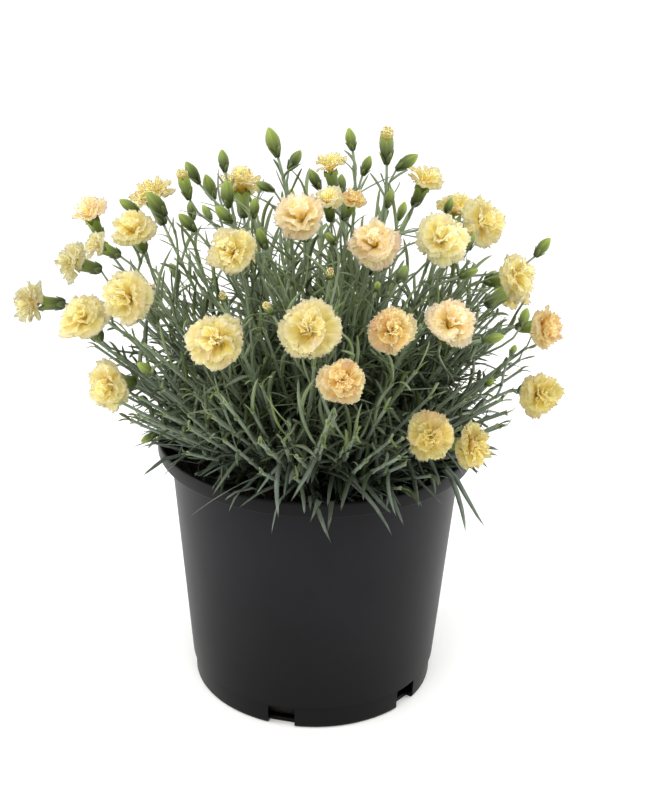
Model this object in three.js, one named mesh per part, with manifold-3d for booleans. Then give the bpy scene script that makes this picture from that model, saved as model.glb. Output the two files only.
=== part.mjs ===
// A dianthus (pot carnation) in its round nursery pot: pot, soil, leafy stems with buds, and blooms.
// Millimetres, +Z up. The origin is the centre of the pot's base, and the front faces -Y.
import * as THREE from 'three';
import { mergeVertices } from 'three/addons/utils/BufferGeometryUtils.js';
import Module from 'manifold-3d';

const wasm = await Module();
wasm.setup();

// Pot
const POT_HEIGHT = 188;
const RIM_RADIUS = 110;
const RIM_BAND = 10.5;
const WALL_TOP_RADIUS = 101;
const WALL_BOTTOM_RADIUS = 86.5;
const FOOT_RADIUS = 85.5;
const FOOT_HEIGHT = 17;
const WALL = 2.6;
const BASE = 3;
const POT_SIDES = 40;
const DRAIN_BEARINGS = [-86, -14, 51, 124, 196];
const DRAIN_WIDTH = 19;
const DRAIN_HEIGHT = 15;
const DRAIN_DEPTH = 6;

// Soil
const SOIL_LEVEL = 168;
const SOIL_RELIEF = 1.6;
const HOLE_DEPTH = 14;
const GAP = 0.3;

// Stems: four-sided, with a swollen node wherever leaves or a branch grow out
const CROWN = new THREE.Vector3(0, 0, SOIL_LEVEL);
const CROWN_RADIUS = 78;
const STEM_RADIUS = 1.8;
const BRANCH_RADIUS = 1.25;
const NODE_SWELL = 1.25;
const NODE_HALF = 1.5;
const FORKS_FROM = 0.48;
const FORKS_TO = 0.88;
const HOLE_RADIUS = 3;

// Heads
const MOUTH_DEPTH = 0.28;
const CALYX_BASE = 8;
const CALYX_GROWTH = 0.24;
const BUD_GIRTH = 0.26;

// Leaves
const BLADE_WIDTH = 4.2;
const BLADE_KEEL = 1.1;
const NODE_SPACING = 21;
const TUFT_NODES = [10, 22];
const CLEARANCE = 0.4;
const SEED = 11;

const COLOURS = {
  pot: '#2b2b2e',
  soil: '#3a2e26',
  foliage: '#5d7259',
  pale: '#efdc95',
  peach: '#f2c691',
  gold: '#eebb5c',
};

// A head's place is its middle, its size a bloom's width or a bud's length, and its aim the way it faces.
const bloom = (tint, x, y, z, size, ...aim) => head('bloom', tint, x, y, z, size, aim);
const bud = (x, y, z, size, ...aim) => head('bud', null, x, y, z, size, aim);

function head(kind, tint, x, y, z, size, aim) {
  const facing = new THREE.Vector3(...aim).normalize();
  const back = kind === 'bloom' ? MOUTH_DEPTH * size : size / 2;
  const mouth = new THREE.Vector3(x, y, z).addScaledVector(facing, -back);
  const calyx = kind === 'bloom' ? CALYX_BASE + CALYX_GROWTH * size : 0;
  return { kind, tint, size, facing, mouth, calyx, base: mouth.clone().addScaledVector(facing, -calyx) };
}

// Every leafy stem with its heads. The main stem ends in the first head, and the others branch off it.
const SPRAYS = {
  left_low: [
    bloom('pale', -137, -60, 244, 36, -0.6, -0.75, 0.15),
    bud(-110, -55, 206, 12, -0.7, -0.3, -0.3),
    bud(-108, -75, 264, 14, -0.75, -0.2, 0.6),
  ],
  left: [
    bloom('pale', -196, 0, 279, 34, -0.95, -0.3, 0.15),
    bloom('pale', -152, -50, 291, 36, -0.4, -0.4, 0.85),
    bloom('pale', -166, -5, 311, 30, -0.85, -0.35, 0.4),
  ],
  left_front: [
    bloom('pale', -121, -75, 312, 38, -0.45, -0.8, 0.35),
    bloom('pale', -120, -25, 342, 31, -0.2, -0.45, 0.85),
    bloom('pale', -142, -45, 336, 22, -0.7, -0.4, 0.5),
  ],
  left_high: [
    bloom('pale', -154, 12, 340, 28, -0.3, -0.3, 0.9),
    bud(-107, -2, 350, 20, -0.6, -0.1, 0.8),
    bud(-127, 15, 343, 15, -0.8, 0, 0.5),
  ],
  up_left: [
    bud(-64, 15, 375, 15, -0.15, 0, 1),
    bud(-85, -25, 345, 16, -0.6, -0.2, 0.7),
    bud(-74, 25, 354, 18, -0.3, 0, 0.95),
    bud(-61, -35, 354, 16, -0.6, -0.3, 0.7),
    bud(-60, -10, 360, 19, -0.05, -0.1, 1),
    bud(-88, 0, 362, 19, -0.25, 0, 0.95),
    bud(-85, 20, 365, 17, -0.5, 0, 0.85),
  ],
  front_left: [
    bloom('pale', -60, -125, 304, 38, -0.2, -0.9, 0.35),
    bloom('pale', -54, -70, 343, 33, -0.15, -0.75, 0.6),
    bud(-57, -100, 322, 11, 0, -0.8, 0.6),
  ],
  top_left: [
    bud(-31, 0, 392, 20, -0.3, 0, 0.95),
    bloom('pale', -12, -42, 358, 37, -0.1, -0.55, 0.8),
    bud(-36, -52, 344, 15, -0.3, -0.2, 0.9),
    bud(-42, -20, 354, 14, 0.05, -0.1, 1),
    bud(-36, -6, 364, 13, -0.85, 0, 0.4),
    bud(-17, 5, 379, 15, 0.5, 0, 0.85),
  ],
  top: [
    bud(19, 15, 391, 15, -0.2, 0, 1),
    bloom('pale', 5, -6, 358, 22, -0.1, -0.35, 0.9),
    bloom('peach', 21, -20, 362, 20, 0.3, -0.35, 0.9),
    bloom('pale', 5, 48, 366, 26, -0.2, 0.1, 0.95),
    bud(-4, 20, 362, 15, -0.45, 0, 0.9),
    bud(30, 24, 371, 14, 0.35, 0, 1),
  ],
  front: [
    bloom('pale', -5, -128, 314, 38, -0.05, -0.85, 0.5),
    bloom('peach', 16, -148, 289, 30, 0.15, -0.95, 0.3),
    bud(-29, -108, 318, 12, -0.3, -0.6, 0.75),
    bud(7, -65, 349, 12, -0.4, -0.5, 0.7),
    bud(7, -95, 336, 11, 0, -0.7, 0.7),
  ],
  mid_right: [
    bloom('pale', 34, -58, 346, 34, -0.1, -0.7, 0.65),
    bloom('peach', 45, -112, 307, 32, 0.1, -0.9, 0.4),
    bud(52, -68, 328, 14, 0.3, -0.3, 0.9),
    bud(36, -86, 326, 9, 0.1, -0.5, 0.8),
  ],
  right_high: [
    bud(42, 0, 390, 22, -0.05, 0, 1),
    bloom('pale', 78, -42, 344, 37, 0.1, -0.75, 0.6),
    bloom('pale', 70, 22, 364, 28, 0.3, -0.25, 0.9),
    bud(45, -6, 358, 13, 0.2, 0, 1),
    bud(84, 2, 351, 12, 0.3, -0.1, 1),
    bud(56, 5, 379, 17, 0.75, 0, 0.55),
  ],
  right_upper: [
    bloom('pale', 112, 10, 338, 38, 0.65, -0.55, 0.35),
    bloom('pale', 134, -2, 304, 36, 0.8, -0.5, 0.3),
    bud(95, -50, 323, 13, 0.8, -0.2, 0.4),
    bud(151, 26, 316, 16, 0.6, 0.1, 0.8),
    bud(97, -16, 335, 18, 0, -0.3, 0.95),
  ],
  right: [
    bloom('peach', 153, -22, 276, 32, 0.8, -0.55, 0.2),
    bloom('pale', 84, -84, 304, 36, 0.2, -0.55, 0.75),
    bud(134, -34, 288, 14, 0.2, -0.2, 1),
    bud(110, -78, 290, 14, 0.95, -0.1, 0.3),
  ],
  right_low: [
    bloom('gold', 150, -42, 236, 32, 0.55, -0.8, 0.2),
    bloom('gold', 103, -90, 221, 32, 0.75, -0.55, 0.2),
    bloom('gold', 72, -112, 237, 34, 0.05, -0.9, 0.35),
    bud(111, -64, 254, 9, 0.5, -0.5, 0.7),
    bud(126, -52, 272, 9, 0.3, -0.3, 0.9),
  ],
  back_left: [
    bloom('pale', -119, 62, 340, 34, -0.4, 0.3, 0.85),
    bloom('peach', -80, 128, 208, 36, -0.4, 0.9, 0.2),
    bud(-108, 116, 262, 15, -0.5, 0.6, 0.6),
    bloom('pale', -136, 80, 250, 36, -0.75, 0.6, 0.25),
    bud(-92, 88, 318, 14, -0.2, 0.5, 0.85),
  ],
  back: [
    bloom('pale', -56, 72, 346, 36, -0.1, 0.4, 0.9),
    bloom('pale', -6, 134, 213, 34, 0, 0.95, 0.15),
    bloom('pale', -62, 122, 276, 38, -0.25, 0.85, 0.45),
    bud(-22, 104, 324, 14, 0.1, 0.6, 0.8),
    bud(-84, 122, 306, 13, -0.5, 0.5, 0.7),
  ],
  back_right: [
    bloom('pale', 38, 116, 288, 38, 0.1, 0.75, 0.6),
    bloom('peach', 57, 133, 211, 34, 0.3, 0.9, 0.15),
    bud(58, 96, 318, 14, 0.3, 0.4, 0.85),
    bud(14, 70, 344, 15, 0, 0.3, 0.95),
  ],
  right_back: [
    bloom('pale', 96, 68, 332, 32, 0.35, 0.35, 0.9),
    bloom('pale', 100, 108, 236, 34, 0.6, 0.8, 0.1),
    bloom('pale', 139, 70, 272, 36, 0.75, 0.5, 0.35),
    bud(124, 98, 268, 13, 0.5, 0.6, 0.6),
  ],
};

// Seeded random numbers from 0 to 1.
function randomStream(seed) {
  let state = seed;
  return () => {
    state = (state + 0x6d2b79f5) | 0;
    let mixed = Math.imul(state ^ (state >>> 15), 1 | state);
    mixed = (mixed + Math.imul(mixed ^ (mixed >>> 7), 61 | mixed)) ^ mixed;
    return ((mixed ^ (mixed >>> 14)) >>> 0) / 4294967296;
  };
}

const random = randomStream(SEED);
const UP = new THREE.Vector3(0, 0, 1);

function middleOf(points) {
  const sum = points.reduce((total, point) => total.add(point), new THREE.Vector3());
  return sum.divideScalar(points.length);
}

// A skin is grown band by band between rings of points. A ring's points run anticlockwise about the way
// it grows, and each has a turn from 0 to 1, so that rings of unlike counts can be joined.
class Skin {
  points = [];

  faces = [];

  addRing(points, turns = points.map((_, i) => i / points.length)) {
    return points.map((point, i) => ({ id: this.points.push(point) - 1, turn: turns[i] }));
  }

  // The band between two rings takes its next point from the ring that lags behind.
  addBand(lower, upper) {
    const turnAt = (ring, i) => ring[i % ring.length].turn + Math.floor(i / ring.length);
    const lowerSteps = lower.length === 1 ? 0 : lower.length;
    const upperSteps = upper.length === 1 ? 0 : upper.length;
    let [i, j] = [0, 0];
    while (i < lowerSteps || j < upperSteps) {
      const lowerLags = i < lowerSteps && turnAt(lower, i + 1) <= turnAt(upper, j + 1);
      const [low, high] = [lower[i % lower.length].id, upper[j % upper.length].id];
      if (j === upperSteps || lowerLags) {
        i += 1;
        this.faces.push(low, lower[i % lower.length].id, high);
      } else {
        j += 1;
        this.faces.push(low, upper[j % upper.length].id, high);
      }
    }
  }

  addLid(ring) {
    for (let i = 1; i + 1 < ring.length; i += 1) {
      this.faces.push(ring[0].id, ring[i].id, ring[i + 1].id);
    }
  }

  // A loop turned to start where it lines up best with a ring's first point, both seen from their middles.
  lineUp(loop, ring) {
    const offsets = (ids) => {
      const places = ids.map(({ id }) => this.points[id]);
      const middle = middleOf(places);
      return places.map((place) => place.clone().sub(middle));
    };
    const target = offsets(ring)[0];
    const match = offsets(loop).map((offset) => offset.dot(target));
    const first = match.indexOf(Math.max(...match));
    return loop.map((_, i) => ({ id: loop[(i + first) % loop.length].id, turn: i / loop.length }));
  }

  // A limb grows from a loop that is already on the skin.
  addLimb(loop, rings) {
    let last = loop;
    for (const points of rings) {
      const ring = this.addRing(points);
      this.addBand(this.lineUp(last, ring), ring);
      last = ring;
    }
    if (last.length > 1) this.addLid(last);
  }

  toGeometry() {
    const position = new THREE.Float32BufferAttribute(this.points.flatMap((p) => p.toArray()), 3);
    const geometry = new THREE.BufferGeometry();
    geometry.setAttribute('position', position);
    geometry.setIndex(this.faces);
    return geometry;
  }
}

// A closed body through a stack of rings of points.
function ringBody(rings) {
  const skin = new Skin();
  const first = skin.addRing(rings[0]);
  skin.addLid([...first].reverse());
  skin.addLimb(first, rings.slice(1));
  return skin.toGeometry();
}

// A closed three.js geometry as a solid that can be cut and measured.
function toSolid(geometry) {
  const bare = geometry.clone();
  bare.deleteAttribute('normal');
  bare.deleteAttribute('uv');
  const merged = mergeVertices(bare, 1e-4);
  return new wasm.Manifold(new wasm.Mesh({
    numProp: 3,
    vertProperties: merged.attributes.position.array,
    triVerts: Uint32Array.from(merged.index.array),
  }));
}

// A solid as a three.js geometry.
function toGeometry(solid) {
  const { vertProperties, triVerts } = solid.getMesh();
  const geometry = new THREE.BufferGeometry();
  geometry.setAttribute('position', new THREE.BufferAttribute(vertProperties, 3));
  geometry.setIndex(new THREE.BufferAttribute(triVerts, 1));
  return geometry;
}

// A ring of evenly spaced points round a direction. Its first point lies towards `start`.
function roundRing(centre, direction, start, radius, sides) {
  const u = start.clone().addScaledVector(direction, -start.dot(direction)).normalize();
  const v = new THREE.Vector3().crossVectors(direction, u);
  return Array.from({ length: sides }, (_, i) => {
    const angle = (2 * Math.PI * i) / sides;
    const point = centre.clone().addScaledVector(u, radius * Math.cos(angle));
    return point.addScaledVector(v, radius * Math.sin(angle));
  });
}

// A direction square to another one.
function squareTo(direction) {
  const hint = Math.abs(direction.z) > 0.9 ? new THREE.Vector3(1, 0, 0) : UP;
  return new THREE.Vector3().crossVectors(hint, direction).normalize();
}

// The pot: a thin tapered shell with a stepped foot, a rolled rim band and drain notches round its base.
function makePot() {
  const rimUnderside = POT_HEIGHT - RIM_BAND;
  const profile = [
    [0, 0], [FOOT_RADIUS - 1, 0], [FOOT_RADIUS, 1], [FOOT_RADIUS + 0.6, FOOT_HEIGHT],
    [WALL_BOTTOM_RADIUS + 0.9, FOOT_HEIGHT + 0.8], [WALL_TOP_RADIUS, rimUnderside],
    [RIM_RADIUS - 1.2, rimUnderside], [RIM_RADIUS, rimUnderside + 1.2], [RIM_RADIUS, POT_HEIGHT - 1.5],
    [RIM_RADIUS - 1.5, POT_HEIGHT], [RIM_RADIUS - 3, POT_HEIGHT - 0.5],
    [WALL_TOP_RADIUS - WALL, rimUnderside - 4], [WALL_BOTTOM_RADIUS - WALL, BASE], [0, BASE],
  ].map(([radius, height]) => new THREE.Vector2(radius, height));
  let pot = toSolid(new THREE.LatheGeometry(profile, POT_SIDES).rotateX(Math.PI / 2));
  for (const bearing of DRAIN_BEARINGS) {
    const notch = new THREE.BoxGeometry(DRAIN_WIDTH, 2 * DRAIN_DEPTH, 2 * DRAIN_HEIGHT);
    notch.translate(0, -FOOT_RADIUS, 0).rotateZ(THREE.MathUtils.degToRad(bearing));
    pot = pot.subtract(toSolid(notch));
  }
  return pot;
}

// The soil fills the pot, with low lumps on top and a plain hole for each stem.
function makeSoil(roots) {
  const bottom = BASE + GAP;
  const wallRadius = (z) => {
    const share = (z - BASE) / (POT_HEIGHT - RIM_BAND - 4 - BASE);
    return THREE.MathUtils.lerp(WALL_BOTTOM_RADIUS, WALL_TOP_RADIUS, share) - WALL - 2 * GAP;
  };
  const topRadius = wallRadius(SOIL_LEVEL);
  const profile = [
    [0, bottom], [wallRadius(bottom), bottom], [topRadius, SOIL_LEVEL], [0.75 * topRadius, SOIL_LEVEL],
    [0.45 * topRadius, SOIL_LEVEL], [0, SOIL_LEVEL],
  ].map(([radius, height]) => new THREE.Vector2(radius, height));
  const geometry = new THREE.LatheGeometry(profile, 24).rotateX(Math.PI / 2);
  const position = geometry.attributes.position;
  for (let i = 0; i < position.count; i += 1) {
    const [x, y, z] = [position.getX(i), position.getY(i), position.getZ(i)];
    const lump = Math.sin(x / 9 + 1) * Math.cos(y / 11) + 0.5 * Math.sin((x + y) / 6);
    if (z > SOIL_LEVEL - 1) position.setZ(i, z + SOIL_RELIEF * lump);
  }
  let soil = toSolid(geometry);
  for (const root of roots) {
    const hole = new THREE.CylinderGeometry(HOLE_RADIUS, HOLE_RADIUS, 2 * HOLE_DEPTH, 6);
    hole.rotateX(Math.PI / 2).translate(root.x, root.y, SOIL_LEVEL);
    soil = soil.subtract(toSolid(hole));
  }
  return soil;
}

// A bloom: tiers of petals, each a frilled rim that juts over the valley below it, round a short claw.
// A tier is [petals, rim radius, rim height, notch depth], as shares of the bloom's radius.
const OPEN_TIERS = [[7, 1, 0.32, 0.26], [6, 0.78, 0.72, 0.2], [4, 0.46, 1.02, 0.12]];
const SMALL_TIERS = [[6, 1, 0.5, 0.24], [4, 0.66, 0.98, 0.16]];

function makeBloom({ size, facing, mouth }) {
  const radius = size / 2;
  const u = squareTo(facing);
  const v = new THREE.Vector3().crossVectors(facing, u);
  const tiers = size < 30 ? SMALL_TIERS : OPEN_TIERS;
  const at = (turn, out, up) => {
    const angle = 2 * Math.PI * turn;
    const point = mouth.clone().addScaledVector(facing, up * radius);
    point.addScaledVector(u, out * radius * Math.cos(angle));
    return point.addScaledVector(v, out * radius * Math.sin(angle));
  };
  const skin = new Skin();
  const foot = skin.addRing(roundRing(mouth.clone().addScaledVector(facing, GAP), facing, u, 2.2, 5));
  skin.addLid([...foot].reverse());
  let last = foot;
  const grow = (samples) => {
    const turns = samples.map(([turn]) => turn);
    const ring = skin.addRing(samples.map(([turn, out, up]) => at(turn, out, up)), turns);
    skin.addBand(last, ring);
    last = ring;
  };
  tiers.forEach(([petals, out, up, notch], tier) => {
    const twist = 0.37 * tier;
    const rim = Array.from({ length: petals }, (_, petal) => {
      const lift = 0.12 * (random() - 0.5);
      const reach = out * (1 - 0.08 * random());
      const edge = [[0, out - notch, up - 0.1], [0.3, reach, up + lift], [0.68, reach - 0.04, up - lift]];
      return edge.map(([share, r, h]) => [(petal + twist + share) / petals, r, h]);
    });
    grow(rim.flat());
    const [count, above] = tiers[tier + 1] ?? [1, 0];
    const height = tier === tiers.length - 1 ? up - 0.08 : up + 0.1;
    grow(Array.from({ length: count }, (_, i) => [(i + twist + 0.5) / count, 0.68 * above, height]));
  });
  return skin.toGeometry();
}

// The curve from one point to another that starts along one direction and ends along another.
function bow(from, start, to, end, startPull, endPull) {
  const span = from.distanceTo(to);
  return new THREE.CubicBezierCurve3(from, from.clone().addScaledVector(start, startPull * span),
    to.clone().addScaledVector(end, -endPull * span), to);
}

// A stem's rings along its curve, with two close rings at each node, and the profile of its head.
// A node keeps its four quads as [ring, side], and the way that each one faces.
function makeStem(curve, radius, nodeDistances, endHead, lead = []) {
  const reach = curve.getLength();
  const rings = [...lead];
  const nodes = [];
  let start = lead.length ? lead[0][0].clone().sub(curve.v0).setZ(0) : squareTo(curve.getTangent(0));
  const addRing = (distance, swell) => {
    const share = THREE.MathUtils.clamp(distance / reach, 0, 1);
    rings.push(roundRing(curve.getPointAt(share), curve.getTangentAt(share), start, radius * swell, 4));
    start = rings[rings.length - 1][0].clone().sub(curve.getPointAt(share));
  };
  for (const distance of nodeDistances) {
    addRing(distance - NODE_HALF, NODE_SWELL);
    addRing(distance + NODE_HALF, NODE_SWELL);
    const ring = rings.length - 2;
    const centre = curve.getPointAt(distance / reach);
    const quads = [0, 1, 2, 3].map((side) => {
      const loop = [[ring, side], [ring, (side + 1) % 4], [ring + 1, (side + 1) % 4], [ring + 1, side]];
      const points = loop.map(([r, i]) => rings[r][i]);
      const middle = middleOf(points);
      const right = points[1].clone().sub(points[0]).normalize();
      return { loop, points, middle, right, out: middle.clone().sub(centre).normalize() };
    });
    nodes.push({ ring, quads, direction: curve.getTangentAt(distance / reach), share: distance / reach });
  }
  for (const [distance, wide] of headProfile(endHead)) {
    const centre = endHead.base.clone().addScaledVector(endHead.facing, distance);
    rings.push(wide ? roundRing(centre, endHead.facing, start, wide, 5) : [centre]);
  }
  return { rings, nodes };
}

// A head's outline past the stem's end, as [distance, radius]: a closed bud, or a calyx under a bloom.
function headProfile({ kind, size, calyx }) {
  const girth = size * BUD_GIRTH;
  if (kind === 'bud') return [[0, 0.5 * girth], [0.3 * size, girth], [0.66 * size, 0.86 * girth], [size, 0]];
  const wide = 2 + 0.08 * size;
  return [[0, 0.55 * wide], [0.25 * calyx, 0.9 * wide], [calyx, wide]];
}

// Where a main stem leaves the soil: out from the crown's middle as far as its heads lean.
function rootOf(heads) {
  const away = middleOf(heads.map(({ base }) => base)).sub(CROWN);
  const lean = Math.atan2(Math.hypot(away.x, away.y), away.z);
  return away.setZ(0).normalize().multiplyScalar(CROWN_RADIUS * Math.sin(lean)).add(CROWN);
}

// Evenly spaced distances along a stretch.
function spaced(from, to, spacing) {
  const count = Math.max(0, Math.floor((to - from) / spacing) + 1);
  return Array.from({ length: count }, (_, i) => from + i * spacing);
}

// A spray's skeleton: a main stem from the soil to its first head, and a branch to each other head.
function makeSkeleton(heads) {
  const [tip, ...others] = heads;
  const root = rootOf(heads);
  const rise = UP.clone().lerp(tip.base.clone().sub(root).normalize(), 0.55).normalize();
  const start = root.clone().setZ(SOIL_LEVEL + 2);
  const main = bow(start, rise, tip.base, tip.facing, 0.4, 0.2);
  const reach = main.getLength();
  const forkAt = (i) => reach * THREE.MathUtils.lerp(FORKS_FROM, FORKS_TO, (i + 0.5) / others.length);
  const forks = others.map((_, i) => forkAt(i));
  const firstLeaf = TUFT_NODES[TUFT_NODES.length - 1] + NODE_SPACING;
  const leafNodes = spaced(firstLeaf, 0.9 * reach, NODE_SPACING)
    .filter((distance) => forks.every((fork) => Math.abs(fork - distance) > 7));
  const distances = [...TUFT_NODES, ...leafNodes, ...forks].sort((a, b) => a - b);
  const below = root.clone().setZ(SOIL_LEVEL - HOLE_DEPTH + GAP);
  const side = squareTo(UP).applyAxisAngle(UP, 2 * Math.PI * random());
  const lead = [below, start].map((centre) => roundRing(centre, UP, side, STEM_RADIUS, 4));
  const stem = makeStem(main, STEM_RADIUS, distances, tip, lead);
  const limbs = [{ ...stem, parent: null, whole: toSolid(ringBody(stem.rings)) }];
  others.forEach((each, i) => {
    const node = stem.nodes.find(({ share }) => Math.abs(share * reach - forks[i]) < 0.01);
    const towards = each.base.clone().sub(node.quads[0].middle).normalize();
    const free = node.quads.filter(({ used }) => !used);
    const quad = free.reduce((best, next) => (next.out.dot(towards) > best.out.dot(towards) ? next : best));
    quad.used = true;
    const from = quad.middle.clone().addScaledVector(quad.out, 2.2).addScaledVector(node.direction, 3);
    const away = towards.clone().add(quad.out).add(node.direction).normalize();
    const curve = bow(from, away, each.base, each.facing, 0.3, 0.3);
    const span = curve.getLength();
    const leafNodesHere = spaced(0.4 * span, 0.75 * span, 1.4 * NODE_SPACING);
    const branch = makeStem(curve, BRANCH_RADIUS, leafNodesHere, each);
    const lowerLeft = quad.right.clone().add(new THREE.Vector3().crossVectors(away, quad.right)).negate();
    const first = roundRing(from, away, lowerLeft, BRANCH_RADIUS, 4);
    const rings = [first, ...branch.rings];
    for (const leafNode of branch.nodes) {
      leafNode.ring += 1;
      for (const corner of leafNode.quads.flatMap(({ loop }) => loop)) corner[0] += 1;
    }
    const whole = toSolid(ringBody([quad.points, ...rings]));
    const outer = toSolid(ringBody(rings));
    limbs.push({ rings, nodes: branch.nodes, parent: { node, quad }, whole, outer });
  });
  return { root, limbs };
}

// A blade is a narrow keeled leaf. It leaves its quad along `rise`, and sags more and more to its tip.
// Its outline gives its width, as a share of the full one, at shares of its length.
const SHORT_BLADE = [[0.3, 1], [1, 0]];
const LONG_BLADE = [[0.22, 1], [0.6, 0.85], [1, 0]];

function bladeRings(rise, { quad, sag, length, outline }) {
  return outline.map(([share, wide]) => {
    const centre = quad.middle.clone().addScaledVector(rise, length * share);
    centre.z -= sag * length * share * share;
    if (wide === 0) return [centre];
    const heading = rise.clone().addScaledVector(UP, -2 * sag * share).normalize();
    const side = quad.right.clone().addScaledVector(heading, -quad.right.dot(heading)).normalize();
    const below = new THREE.Vector3().crossVectors(side, heading);
    const half = 0.5 * wide * BLADE_WIDTH;
    return [centre.clone().addScaledVector(side, half), centre.clone().addScaledVector(side, -half),
      centre.clone().addScaledVector(below, BLADE_KEEL)];
  });
}

// The blades that a spray may carry: an opposite pair at each node, each pair turned a quarter turn from
// the last, and long ones on all four sides of the lowest nodes.
function bladePlan(limbs) {
  const plan = [];
  limbs.forEach(({ nodes }, limb) => nodes.forEach((node, place) => {
    const isTuft = limb === 0 && place < TUFT_NODES.length;
    node.quads.forEach((quad, side) => {
      if (quad.used || (!isTuft && side % 2 !== place % 2)) return;
      const length = 75 + 45 * random();
      const lean = 0.75 + 0.25 * random();
      const share = limb === 0 ? place / nodes.length : 0.7;
      const shorter = THREE.MathUtils.lerp(0.53, 0.25, share);
      const shape = isTuft
        ? { length, lean, sag: 0.42, outline: LONG_BLADE }
        : { length: shorter * length, lean: lean - 0.1, sag: 0.2, outline: SHORT_BLADE };
      plan.push({ limb, node, quad, ...shape });
    });
  }));
  return plan;
}

// True where a solid keeps its clearance from another.
function isClear(solid, other) {
  const [a, b] = [solid.boundingBox(), other.boundingBox()];
  const isApart = [0, 1, 2].some((k) => b.min[k] > a.max[k] + CLEARANCE || b.max[k] < a.min[k] - CLEARANCE);
  return isApart || solid.minGap(other, 2 * CLEARANCE) > CLEARANCE;
}

// Each blade takes the first of a few turns about the upright that is clear of every other piece. The part
// past its first ring is tested against the limb that carries it and against what shares its node.
const TURNS = [0, 0.35, -0.35, 0.7, -0.7];
const MOST_SKEW = 0.65;

function placeBlade(blade, spray, obstacles) {
  const { direction } = blade.node;
  for (const turn of TURNS) {
    const rise = direction.clone().multiplyScalar(Math.cos(blade.lean))
      .addScaledVector(blade.quad.out, Math.sin(blade.lean)).applyAxisAngle(UP, turn);
    if (Math.abs(rise.dot(blade.quad.right)) > MOST_SKEW) continue;
    const rings = bladeRings(rise, blade);
    const whole = toSolid(ringBody([blade.quad.points, ...rings]));
    const outer = toSolid(ringBody(rings));
    const carrier = spray.limbs[blade.limb];
    const isFree = isClear(outer, carrier.whole)
      && obstacles.every((other) => isClear(whole, other))
      && spray.limbs.every((limb) => limb === carrier
        || (limb.parent?.node === blade.node ? isClear(outer, limb.outer) : isClear(whole, limb.whole)))
      && spray.blades.every((other) => (
        other.node === blade.node ? isClear(outer, other.outer) : isClear(whole, other.whole)));
    if (isFree) return { ...blade, rings, whole, outer };
  }
  return null;
}

// One skin for a whole spray. Quads that carry nothing are closed at the end.
function makeSpray({ limbs, blades }) {
  const skin = new Skin();
  const loops = new Map();
  for (const { rings, nodes, parent } of limbs) {
    const ids = rings.map((points) => skin.addRing(points));
    if (parent) {
      const loop = loops.get(parent.quad);
      loops.delete(parent.quad);
      skin.addBand(skin.lineUp(loop, ids[0]), ids[0]);
    } else {
      skin.addLid([...ids[0]].reverse());
    }
    ids.slice(1).forEach((ring, i) => {
      const node = nodes.find((each) => each.ring === i);
      if (!node) {
        skin.addBand(skin.lineUp(ids[i], ring), ring);
        return;
      }
      for (const quad of node.quads) {
        loops.set(quad, quad.loop.map(([r, k], n) => ({ id: ids[r][k].id, turn: n / 4 })));
      }
    });
    const last = ids[ids.length - 1];
    if (last.length > 1) skin.addLid(last);
  }
  for (const { quad, rings } of blades) {
    skin.addLimb(loops.get(quad), rings);
    loops.delete(quad);
  }
  for (const loop of loops.values()) skin.addLid(loop);
  return skin.toGeometry();
}

// The blooms of a spray, numbered in the table's order.
function makeBlooms({ name, heads }) {
  return heads.filter(({ kind }) => kind === 'bloom').map((each, i) => (
    { name: `bloom_${name}_${i + 1}`, tint: each.tint, geometry: makeBloom(each) }));
}

const sprays = Object.entries(SPRAYS).map(([name, heads]) => {
  const { root, limbs } = makeSkeleton(heads);
  return { name, heads, root, limbs, blades: [] };
});
const pot = makePot();
const soil = makeSoil(sprays.map(({ root }) => root));
const blooms = sprays.flatMap(makeBlooms);
const fixed = [pot, soil, ...blooms.map(({ geometry }) => toSolid(geometry))];
for (const spray of sprays) {
  const others = sprays.filter((other) => other !== spray);
  const growth = others.flatMap(({ limbs, blades }) => [...limbs, ...blades]);
  const obstacles = [...fixed, ...growth.map(({ whole }) => whole)];
  for (const blade of bladePlan(spray.limbs)) {
    const placed = placeBlade(blade, spray, obstacles);
    if (placed) {
      placed.quad.used = true;
      spray.blades.push(placed);
    }
  }
}

const group = new THREE.Group();

function addMesh(name, geometry, colour, roughness) {
  geometry.computeVertexNormals();
  const material = new THREE.MeshStandardMaterial({ color: colour, roughness, metalness: 0 });
  const mesh = new THREE.Mesh(geometry, material);
  mesh.name = name;
  group.add(mesh);
}

addMesh('pot', toGeometry(pot), COLOURS.pot, 0.45);
addMesh('soil', toGeometry(soil), COLOURS.soil, 0.95);
for (const spray of sprays) {
  addMesh(`spray_${spray.name}`, makeSpray(spray), COLOURS.foliage, 0.7);
}
for (const { name, tint, geometry } of blooms) {
  addMesh(name, geometry, COLOURS[tint], 0.8);
}

export default group;
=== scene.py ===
"""A dianthus (pot carnation) in bloom in its round nursery pot.

Each operator makes one group of pieces: the studio, the pot, the potting soil, the leafy stems with their
buds, the leafy shoots that fill the pot, and the petals of the blooms and of the opening buds. Shapes are
worked out in millimetres, with the middle of the pot's base at the origin, +Z up and the front towards
-Y, and are turned to metres where a mesh is made.
"""

import math
from collections import namedtuple
from functools import partial

import bpy
import numpy as np
from bpy.props import (
    FloatProperty,
    FloatVectorProperty,
    IntProperty,
    PointerProperty,
)
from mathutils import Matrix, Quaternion, Vector


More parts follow.
